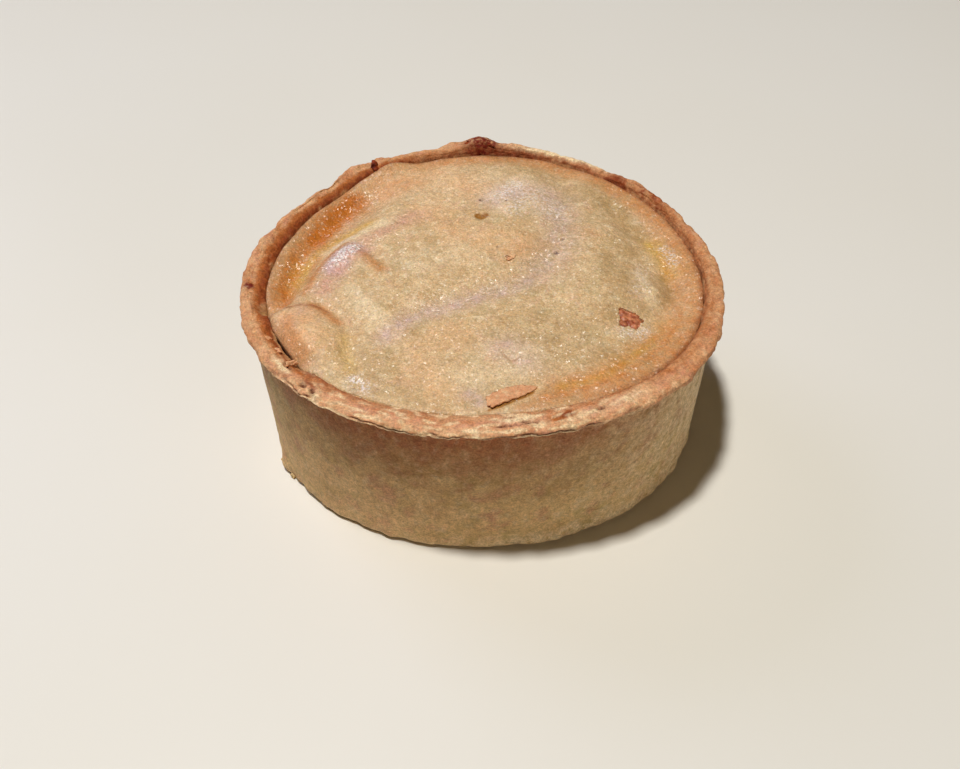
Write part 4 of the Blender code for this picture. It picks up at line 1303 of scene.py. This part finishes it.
@dataclass
class Flake:
    """A thin torn flake of pastry over an outline in millimetres."""

    name: str
    outline: Path
    lift: float
    tilt: tuple[float, float]
    thickness: float = 0.45

    def build(self, shape: PieShape, finish: bpy.types.Material) -> bpy.types.Object:
        """Build the flake on the lid.

        Args:
            shape: The pie's shape.
            finish: The flake's material.

        Returns:
            The flake's object.
        """
        skin = bmesh.new()
        ring = [skin.verts.new((x * MM, y * MM, 0.0)) for x, y in self.outline]
        face = skin.faces.new(ring)
        bmesh.ops.triangulate(skin, faces=[face])
        for _ in range(3):
            bmesh.ops.subdivide_edges(skin, edges=skin.edges[:], cuts=1, use_grid_fill=True)
            bmesh.ops.triangulate(skin, faces=skin.faces[:])
        rim = {vertex for edge in skin.edges if edge.is_boundary for vertex in edge.verts}
        centre = Vector((sum(x for x, _ in self.outline), sum(y for _, y in self.outline), 0.0))
        centre *= MM / len(self.outline)
        xs = np.array([vertex.co.x for vertex in skin.verts])
        ys = np.array([vertex.co.y for vertex in skin.verts])
        heights = shape.lid_top(xs, ys)
        for vertex, height in zip(skin.verts, heights):
            away = vertex.co - centre
            if vertex in rim:
                vertex.co += away.normalized() * 0.35 * MM * noise.noise(vertex.co * 1400.0)
            rise = self.lift * MM + away.x * self.tilt[0] + away.y * self.tilt[1]
            vertex.co.z = float(height) + rise + 0.16 * MM * noise.noise(vertex.co * 900.0)
        bmesh.ops.recalc_face_normals(skin, faces=skin.faces[:])
        if sum(face.normal.z for face in skin.faces) < 0.0:
            bmesh.ops.reverse_faces(skin, faces=skin.faces[:])
        bmesh.ops.solidify(skin, geom=skin.faces[:], thickness=self.thickness * MM)
        bmesh.ops.translate(skin, vec=(*shape.shift, 0.0), verts=skin.verts[:])
        bmesh.ops.recalc_face_normals(skin, faces=skin.faces[:])
        for face in skin.faces:
            face.smooth = True
        mesh = bpy.data.meshes.new(self.name)
        skin.to_mesh(mesh)
        skin.free()
        return show(mesh, finish, Slot.CASE.value)


@dataclass
class Lump:
    """A small rounded or craggy lump: a bead of juice, a crumb, a burnt crag."""

    name: str
    place: Vector
    radii: tuple[float, float, float]
    turn: float = 0.0
    rough: float = 0.25
    grain: float = 1.2

    def build(self, finish: bpy.types.Material) -> bpy.types.Object:
        """Build the lump in place.

        Args:
            finish: The lump's material.

        Returns:
            The lump's object.
        """
        skin = bmesh.new()
        bmesh.ops.create_icosphere(skin, subdivisions=4, radius=1.0)
        frame = Matrix.Translation(self.place) @ Matrix.Rotation(math.radians(self.turn), 4, "Z")
        for vertex in skin.verts:
            way = vertex.co.copy()
            local = Vector(way[axis] * self.radii[axis] * MM for axis in range(3))
            swell = 1.0 + self.rough * 2.0 * noise.noise((local + self.place) / (self.grain * MM))
            swell += self.rough * noise.noise((local + self.place) / (0.45 * self.grain * MM))
            vertex.co = frame @ (local * swell)
            vertex.co.z = max(vertex.co.z, 0.0)
        for face in skin.faces:
            face.smooth = True
        mesh = bpy.data.meshes.new(self.name)
        skin.to_mesh(mesh)
        skin.free()
        return show(mesh, finish, Slot.CASE.value)


@dataclass
class MinceInTear:
    """The mince that shows in the tear: moist grains packed together."""

    shape: PieShape
    middle: tuple[float, float] = (28.8, -14.2)
    grains: int = 42

    def build(self, finish: MoistCrumb) -> bpy.types.Object:
        """Build the grains as one closed skin.

        Args:
            finish: The mince's finish.

        Returns:
            The mince's object.
        """
        made = bmesh.new()
        for index in range(self.grains):
            across = 4.0 * noise.noise(Vector((index * 1.7, 0.3, 5.0))) * 1.3
            along = 4.0 * noise.noise(Vector((0.6, index * 2.3, 9.0))) * 1.7
            place = self.shape.place(self.middle[0] + across, self.middle[1] + along, -0.95)
            place.z += 0.35 * MM * noise.noise(Vector((index * 3.1, 2.0, 1.0)))
            size = (0.75 + 0.3 * noise.noise(Vector((2.0, index * 1.9, 4.0)))) * MM
            stretch = Matrix.Diagonal((1.5, 0.95, 0.85, 1.0))
            spin = Matrix.Rotation(index * 2.4, 4, "Z")
            bmesh.ops.create_icosphere(made, subdivisions=2, radius=size,
                                       matrix=Matrix.Translation(place) @ spin @ stretch)
        mesh = bpy.data.meshes.new("mince_in_tear")
        made.to_mesh(mesh)
        made.free()
        piece = show(mesh, finish.build(), Slot.MEAT.value)
        joined = piece.modifiers.new("joined", "REMESH")
        joined.mode, joined.voxel_size = "VOXEL", 0.16 * MM
        bpy.context.view_layer.objects.active = piece
        bpy.ops.object.modifier_apply(modifier=joined.name)
        mesh.polygons.foreach_set("use_smooth", np.ones(len(mesh.polygons), bool))
        return piece


# ---------------------------------------------------------------- the set


@dataclass
class PieSet:
    """The plain pale floor, the lamps and the camera."""

    shape: PieShape
    floor_colour: str = "#e7e7e4"
    lens: float = 39.375

    def floor(self) -> None:
        """Lay the floor under the pie."""
        skin = bmesh.new()
        bmesh.ops.create_grid(skin, x_segments=8, y_segments=8, size=1.6)
        bmesh.ops.translate(skin, vec=(0.0, 0.0, -0.02 * MM), verts=skin.verts[:])
        mesh = bpy.data.meshes.new("floor")
        skin.to_mesh(mesh)
        skin.free()
        made = bpy.data.objects.new("floor", mesh)
        bpy.context.scene.collection.objects.link(made)
        material = bpy.data.materials.new("Painted_board")
        material.use_nodes = True
        tree = material.node_tree
        shader = tree.nodes["Principled BSDF"]
        shader.inputs["Roughness"].default_value = 0.45
        where = add_node(tree, "ShaderNodeTexCoord").outputs["Object"]
        clouds = add_node(tree, "ShaderNodeTexNoise", {"Scale": 9.0, "Detail": 2.0}, {"Vector": where})
        tint = add_node(tree, "ShaderNodeMix", {6: linear(self.floor_colour), 7: linear("#e4e2db")},
                        {0: clouds.outputs["Fac"]}, data_type="RGBA")
        tree.links.new(tint.outputs[2], shader.inputs["Base Color"])
        mesh.materials.append(material)

    def lamp(self, name: str, place: Vector, size: float, power: float, colour: str) -> None:
        """Hang a soft square lamp that looks at the pie.

        Args:
            name: The lamp's name.
            place: Where it hangs, in metres.
            size: Its side in metres.
            power: Its power in watts.
            colour: Its hex colour.
        """
        light = bpy.data.lights.new(name, "AREA")
        light.shape, light.size, light.energy = "SQUARE", size, power
        light.color = linear(colour)[:3]
        made = bpy.data.objects.new(name, light)
        bpy.context.scene.collection.objects.link(made)
        made.location = place
        made.rotation_euler = (Vector((0.0, 0.0, 0.02)) - place).to_track_quat("-Z", "Y").to_euler()

    def lights(self) -> None:
        """Set the ceiling lamp, the window and the room's own light."""
        self.lamp("ceiling_lamp", Vector((-0.225, -0.09, 1.35)), 0.11, 16.8, "#fffaf0")
        self.lamp("window", Vector((-1.10, 0.95, 0.95)), 0.8, 6.0, "#d4daff")
        self.lamp("room_fill", Vector((1.45, -1.45, 0.175)), 0.76, 7.5, "#ffe9d0")
        world = bpy.data.worlds.new("room")
        bpy.context.scene.world = world
        world.use_nodes = True
        backdrop = world.node_tree.nodes["Background"]
        backdrop.inputs["Color"].default_value = linear("#ffdc9a")
        backdrop.inputs["Strength"].default_value = 0.04

    def camera(self) -> None:
        """Stand the camera where it looks down on the pie from the front."""
        data = bpy.data.cameras.new("camera")
        data.lens, data.sensor_width, data.sensor_fit = self.lens, 36.0, "HORIZONTAL"
        data.clip_start = 0.01
        made = bpy.data.objects.new("camera", data)
        bpy.context.scene.collection.objects.link(made)
        right = Vector((0.999947, 0.007184, 0.007416))
        up = Vector((-0.010325, 0.695757, 0.718203))
        back = right.cross(up)
        place = Vector((-0.507, -171.431, 168.932)) * MM + Vector((*self.shape.shift, 0.0))
        made.matrix_world = Matrix.Translation(place) @ Matrix((right, up, back)).transposed().to_4x4()
        bpy.context.scene.camera = made

    def build(self) -> None:
        """Build the whole set."""
        self.floor()
        self.lights()
        self.camera()
        bpy.context.scene.view_settings.view_transform = "Standard"


def dress_details(shape: PieShape, case: bpy.types.Material, crust: bpy.types.Material,
                  burnt: bpy.types.Material) -> None:
    """Lay the flakes, crumbs, crags and beads of juice on the pie.

    Args:
        shape: The pie's shape.
        case: The case's pastry.
        crust: The pastry of what toasted right through.
        burnt: The burnt juice.
    """
    flakes = (
        Flake("raised_flake", ((0.7, -37.2), (1.9, -36.0), (3.7, -34.8), (6.2, -34.0), (8.0, -34.0),
                               (10.0, -34.3), (9.2, -35.4), (7.3, -36.8), (5.5, -37.8), (3.7, -38.9),
                               (1.9, -40.0), (0.8, -39.8), (0.6, -38.6)), 0.36, (0.02, -0.10), 0.25),
        Flake("lid_scale", ((4.6, 2.2), (5.2, 2.0), (6.4, 3.2), (6.6, 3.9), (5.6, 3.6)), 0.25, (0.0, 0.0),
              0.2),
    )
    for flake in flakes:
        flake.build(shape, crust)
    lumps_of_juice = (
        Lump("burnt_crag", shape.rim_place(91.5, 47.6, 36.1), (3.0, 0.9, 0.6), 0.0, 0.7, 0.9),
        Lump("juice_bead", shape.rim_place(123.6, 46.8, 35.8), (0.85, 1.9, 0.95), 16.0, 0.26, 1.0),
    )
    for lump in lumps_of_juice:
        lump.build(burnt)
    crumbs = (
        Lump("gap_crumb_1", shape.rim_place(-152.6, 44.9, 34.9), (0.75, 0.45, 0.4), 20.0, 0.5, 0.8),
        Lump("gap_crumb_2", shape.rim_place(-147.6, 44.7, 34.9), (0.9, 0.5, 0.35), -40.0, 0.5, 0.8),
        Lump("gap_crumb_3", shape.rim_place(-142.0, 44.5, 35.0), (1.0, 0.4, 0.35), 25.0, 0.5, 0.8),
        Lump("foot_crumb_1", shape.rim_place(-151.5, 45.4, 0.8), (1.2, 0.9, 0.8), 30.0, 0.5, 1.0),
        Lump("foot_crumb_2", shape.rim_place(-147.0, 45.6, 0.5), (0.8, 0.6, 0.5), 10.0, 0.5, 0.8),
    )
    for crumb in crumbs:
        crumb.build(case if crumb.name.startswith("foot") else crust)


def main() -> None:
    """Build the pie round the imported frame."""
    logging.basicConfig(level=logging.INFO, format="%(name)s %(message)s")
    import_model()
    shape = PieShape()
    case = PastryCase(shape).build(CASE_PASTRY)
    PastryLid(shape).build(LID_PASTRY)
    mince = MinceInTear(shape).build(COOKED_MINCE)
    filling = bpy.data.objects["meat_filling"]
    filling.data.materials.clear()
    filling.data.materials.append(mince.data.materials[0])
    dress_details(shape, case.data.materials[0], FLAKE_PASTRY.build(), BURNT_JUICE.build())
    PieSet(shape).build()


if __name__ == "__main__":
    main()
